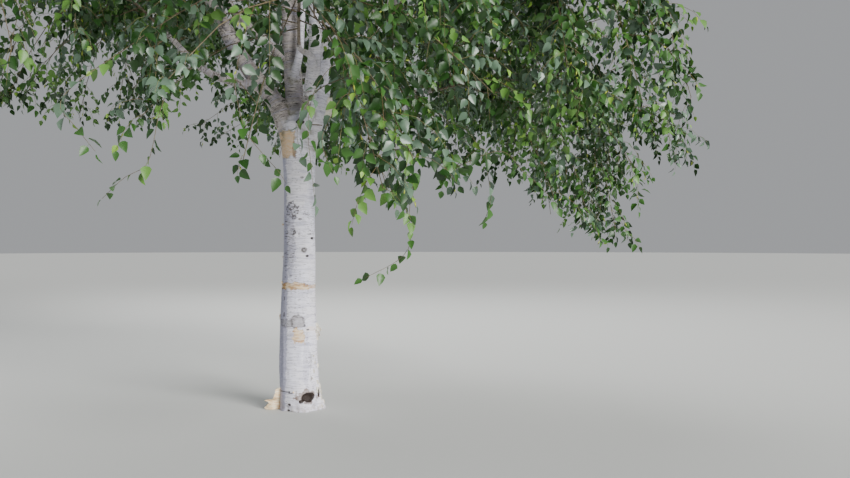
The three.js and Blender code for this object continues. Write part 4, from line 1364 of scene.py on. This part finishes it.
# Rings round old twig scars: centre and half sizes
knotRings = [
    ((0.062, -0.13, 1.392), (0.018, 0.06, 0.016)), ((-0.02, -0.14, 1.543), (0.010, 0.06, 0.014)),
    ((0.03, -0.14, 1.66), (0.011, 0.06, 0.006)), ((0.045, -0.13, 2.02), (0.009, 0.06, 0.006)),
    ((0.02, 0.14, 1.62), (0.02, 0.06, 0.018)), ((0.14, 0.05, 1.15), (0.06, 0.02, 0.019)),
    ((-0.1, 0.12, 0.86), (0.03, 0.05, 0.02)), ((-0.13, 0.03, 1.92), (0.06, 0.022, 0.02)),
]


def patchAt(tree, place, centre, half, ragged, roundness=1, rimWidth=0.2):
    return useGroup(tree, patchMask, {
        "Place": place, "Centre": centre, "Half": half, "Ragged": ragged, "Round": roundness,
        "Rim width": rimWidth,
    })


def newMaterial(name):
    material = bpy.data.materials.new(name)
    material.use_nodes = True
    return material, material.node_tree, material.node_tree.nodes["Principled BSDF"]


def layMarks(tree, masks, place, colour, height):
    bare = patches(tree, place, "bare")
    tones = {**barkColours, "bare": mixColour(tree, bare, barkColours["peach"], barkColours["orange"])}
    worn = patches(tree, place, "worn")
    whole = maths(tree, "ADD", times(tree, worn, 0.3), 0.7)
    for (_, _, _, _, tone, strength, rim, _), mask in zip(barkMarks, masks):
        if strength:
            colour = cover(tree, colour, tones[tone], times(tree, mask["Mask"], whole), strength)
        if rim:
            colour = cover(tree, colour, tones["fleck"], mask["Rim"], times(tree, worn, rim))
            height = minus(tree, height, times(tree, mask["Mask"], barkLook["markDepth"]))
    return colour, height


def layHoles(tree, objectPlace, colour, height):
    for centre, half, ragged, tone in barkHoles:
        hole = patchAt(tree, objectPlace, centre, half, ragged)["Mask"]
        colour = cover(tree, colour, barkColours[tone], hole, barkLook["hole"])
        height = minus(tree, height, times(tree, hole, barkLook["holeDepth"]))
    broken = patches(tree, objectPlace, "broken")
    for centre, half in knotRings:
        ring = patchAt(tree, objectPlace, centre, half, 0.45, rimWidth=0.85)
        colour = cover(tree, colour, barkColours["grey"], ring["Mask"], barkLook["ring"])
        rim = times(tree, ring["Rim"], broken)
        colour = cover(tree, colour, barkColours["fleck"], rim, barkLook["ringRim"])
        height = maths(tree, "ADD", height, ring["Rim"])
    low = smoothStep(tree, put(tree, "ShaderNodeSeparateXYZ", {0: objectPlace}).outputs[2], 0.1, 0.0)
    soiled = times(tree, low, patches(tree, objectPlace, "soil"))
    return cover(tree, colour, barkColours["soil"], soiled, barkLook["soil"]), height


def makeBark(name, withPlaces):
    material, tree, shader = newMaterial(name)
    tones, look = barkColours, barkLook
    marks = barkMarks if withPlaces else []
    objectPlace = tree.nodes.new("ShaderNodeTexCoord").outputs["Object"]
    place = attributeOf(tree, "barkPlace", "Vector")
    rough = attributeOf(tree, "roughness")
    mottle = noiseOf(tree, objectPlace, 4.2, 4.0, (1, 1, 0.6))
    colour = mixColour(tree, smoothStep(tree, mottle, 0.36, 0.64), tones["white"], tones["cream"])
    shade = patches(tree, objectPlace, "shade")
    colour = cover(tree, colour, tones["lilac"], shade, look["shade"])
    limbTone = mixColour(tree, patches(tree, place, "limbTone"), tones["limbPale"], tones["limb"])
    colour = mixColour(tree, rough, colour, limbTone)
    masks = [patchAt(tree, objectPlace, *mark[:4]) for mark in marks]
    fleckiness = rough
    for mark, mask in zip(marks, masks):
        if mark[-1]:
            fleckiness = maths(tree, "MAXIMUM", fleckiness, times(tree, mask["Mask"], mark[-1]))
    rings = useGroup(tree, barkRings, {"Place": place, "Rough": fleckiness})
    smudge = patches(tree, place, "smudge")
    colour = cover(tree, colour, tones["lilac"], smudge, look["smudge"])
    colour = cover(tree, colour, tones["dash"], smoothStep(tree, rings["Streak"], 0.47, 0.7), look["streak"])
    colour = cover(tree, colour, tones["dash"], rings["Dash"], look["dash"])
    height = rings["Height"]
    if withPlaces:
        colour, height = layMarks(tree, masks, place, colour, height)
    mossy = times(tree, attributeOf(tree, "crotch"), patches(tree, objectPlace, "moss"))
    colour = cover(tree, colour, tones["moss"], mossy, look["moss"])
    colour = cover(tree, colour, tones["fleck"], rings["Fleck"], look["fleck"])
    if withPlaces:
        colour, height = layHoles(tree, objectPlace, colour, height)
    tree.links.new(colour, shader.inputs["Base Color"])
    tree.links.new(maths(tree, "ADD", 0.5, times(tree, mottle, 0.35)), shader.inputs["Roughness"])
    shader.inputs["Specular IOR Level"].default_value = 0.3
    bump = put(tree, "ShaderNodeBump", {
        "Height": height, "Strength": look["bump"], "Distance": look["bumpDepth"],
    })
    tree.links.new(bump.outputs["Normal"], shader.inputs["Normal"])
    return material


def makeTone(name, first, second, scale, roughness, stretch=None, bump=0.0):
    # two colours in patches, for twigs, catkins and peeled sheets
    material, tree, shader = newMaterial(name)
    place = tree.nodes.new("ShaderNodeTexCoord").outputs["Object"]
    pattern = noiseOf(tree, place, scale, 4.0, stretch)
    colour = mixColour(tree, smoothStep(tree, pattern, 0.35, 0.65), (*first, 1), (*second, 1))
    tree.links.new(colour, shader.inputs["Base Color"])
    shader.inputs["Roughness"].default_value = roughness
    if bump:
        made = put(tree, "ShaderNodeBump", {"Height": pattern, "Strength": 0.6, "Distance": bump})
        tree.links.new(made.outputs["Normal"], shader.inputs["Normal"])
    return material


def plainMaterial(name, colour, roughness, sheen=0.5):
    material, _, shader = newMaterial(name)
    shader.inputs["Base Color"].default_value = (*colour, 1)
    shader.inputs["Roughness"].default_value = roughness
    shader.inputs["Specular IOR Level"].default_value = sheen
    return material


peelMaterials = [
    makeTone("peeled bark outside", (0.86, 0.85, 0.78), (0.72, 0.66, 0.52), 40, 0.6, (1, 1, 5), 0.0008),
    makeTone("peeled bark inside", (0.92, 0.82, 0.60), (0.76, 0.52, 0.28), 28, 0.65, (1, 1, 4), 0.0008),
]
twigMaterials = [
    makeTone("young bough bark", (0.22, 0.18, 0.13), (0.11, 0.08, 0.05), 60, 0.6, (1, 1, 1), 0.0006),
    makeTone("twig bark", (0.17, 0.14, 0.07), (0.09, 0.06, 0.03), 40, 0.5),
    makeTone("shoot bark", (0.22, 0.22, 0.08), (0.17, 0.10, 0.045), 6, 0.45),
]
# the grey green tint is a painted sheen: paler, bluer leaves that stand for the sky's reflection on glossy
# leaves
leafTints = [
    ("leaf dark", (0.012, 0.052, 0.005), 0.44),
    ("leaf mid", (0.035, 0.115, 0.014), 0.44),
    ("leaf fresh", (0.095, 0.225, 0.034), 0.48),
    ("leaf grey green painted sheen", (0.10, 0.17, 0.108), 0.36),
    ("leaf young", (0.19, 0.36, 0.035), 0.54),
]
leafMaterials = [plainMaterial(*tint, sheen=0.58) for tint in leafTints]
catkinMaterial = makeTone("catkin", (0.47, 0.54, 0.06), (0.36, 0.44, 0.05), 160, 0.6)

makeFork(makeBark("birch bark of the trunk", True))
makeLimbs(makeBark("birch bark of the limbs", False))
makeFlakes(peelMaterials)
makeFootSheet(peelMaterials)
print("peeled bark hung")
growCrown(twigMaterials, leafMaterials, catkinMaterial)

# Stage: a pale floor, a soft sky and three large soft lights
stage = {
    "floor": 90, "floorColour": (0.58, 0.59, 0.57), "sky": (0.89, 0.91, 0.94), "skyStrength": 0.42,
    # a broad high light from the front right: its direction, strength, spread in degrees and colour
    "key": ((9, -9, 8), 5.6, 28, (1, 0.985, 0.965)),
    "lights": [
        # place, size, power, colour
        ((-9, -5, 9), 9, 200, (0.9, 0.95, 1)),
        ((-1, 9, 13), 10, 1600, (1, 1, 1)),
    ],
    "camera": (1.109, -7.48, 1.487), "lens": 36, "sensor": 36,
}


def addLight(data, place):
    light = addObject(data.name, data)
    light.location = place
    light.rotation_euler = (Vector((0, 0, 3)) - Vector(place)).to_track_quat("-Z", "Y").to_euler()
    light.visible_camera = False


def setStage():
    bm = bmesh.new()
    bmesh.ops.create_circle(bm, cap_ends=True, radius=stage["floor"], segments=128)
    floor = addObject("floor", meshOf("floor", bm))
    floor.data.materials.append(plainMaterial("pale floor", stage["floorColour"], 0.9))
    world = bpy.data.worlds.new("soft sky")
    world.use_nodes = True
    background = world.node_tree.nodes["Background"].inputs
    background["Color"].default_value = (*stage["sky"], 1)
    background["Strength"].default_value = stage["skyStrength"]
    bpy.context.scene.world = world
    place, strength, spread, colour = stage["key"]
    data = bpy.data.lights.new("key light", "SUN")
    data.energy, data.angle, data.color = strength, math.radians(spread), colour
    addLight(data, place)
    for k, (place, size, power, colour) in enumerate(stage["lights"]):
        data = bpy.data.lights.new(f"soft light {k + 1}", "AREA")
        data.size, data.energy, data.color = size, power, colour
        addLight(data, place)
    data = bpy.data.cameras.new("camera")
    data.lens, data.sensor_width = stage["lens"], stage["sensor"]
    camera = addObject("camera", data)
    camera.location = stage["camera"]
    camera.rotation_euler = (math.pi / 2, 0, 0)
    bpy.context.scene.camera = camera


setStage()
print("stage set")
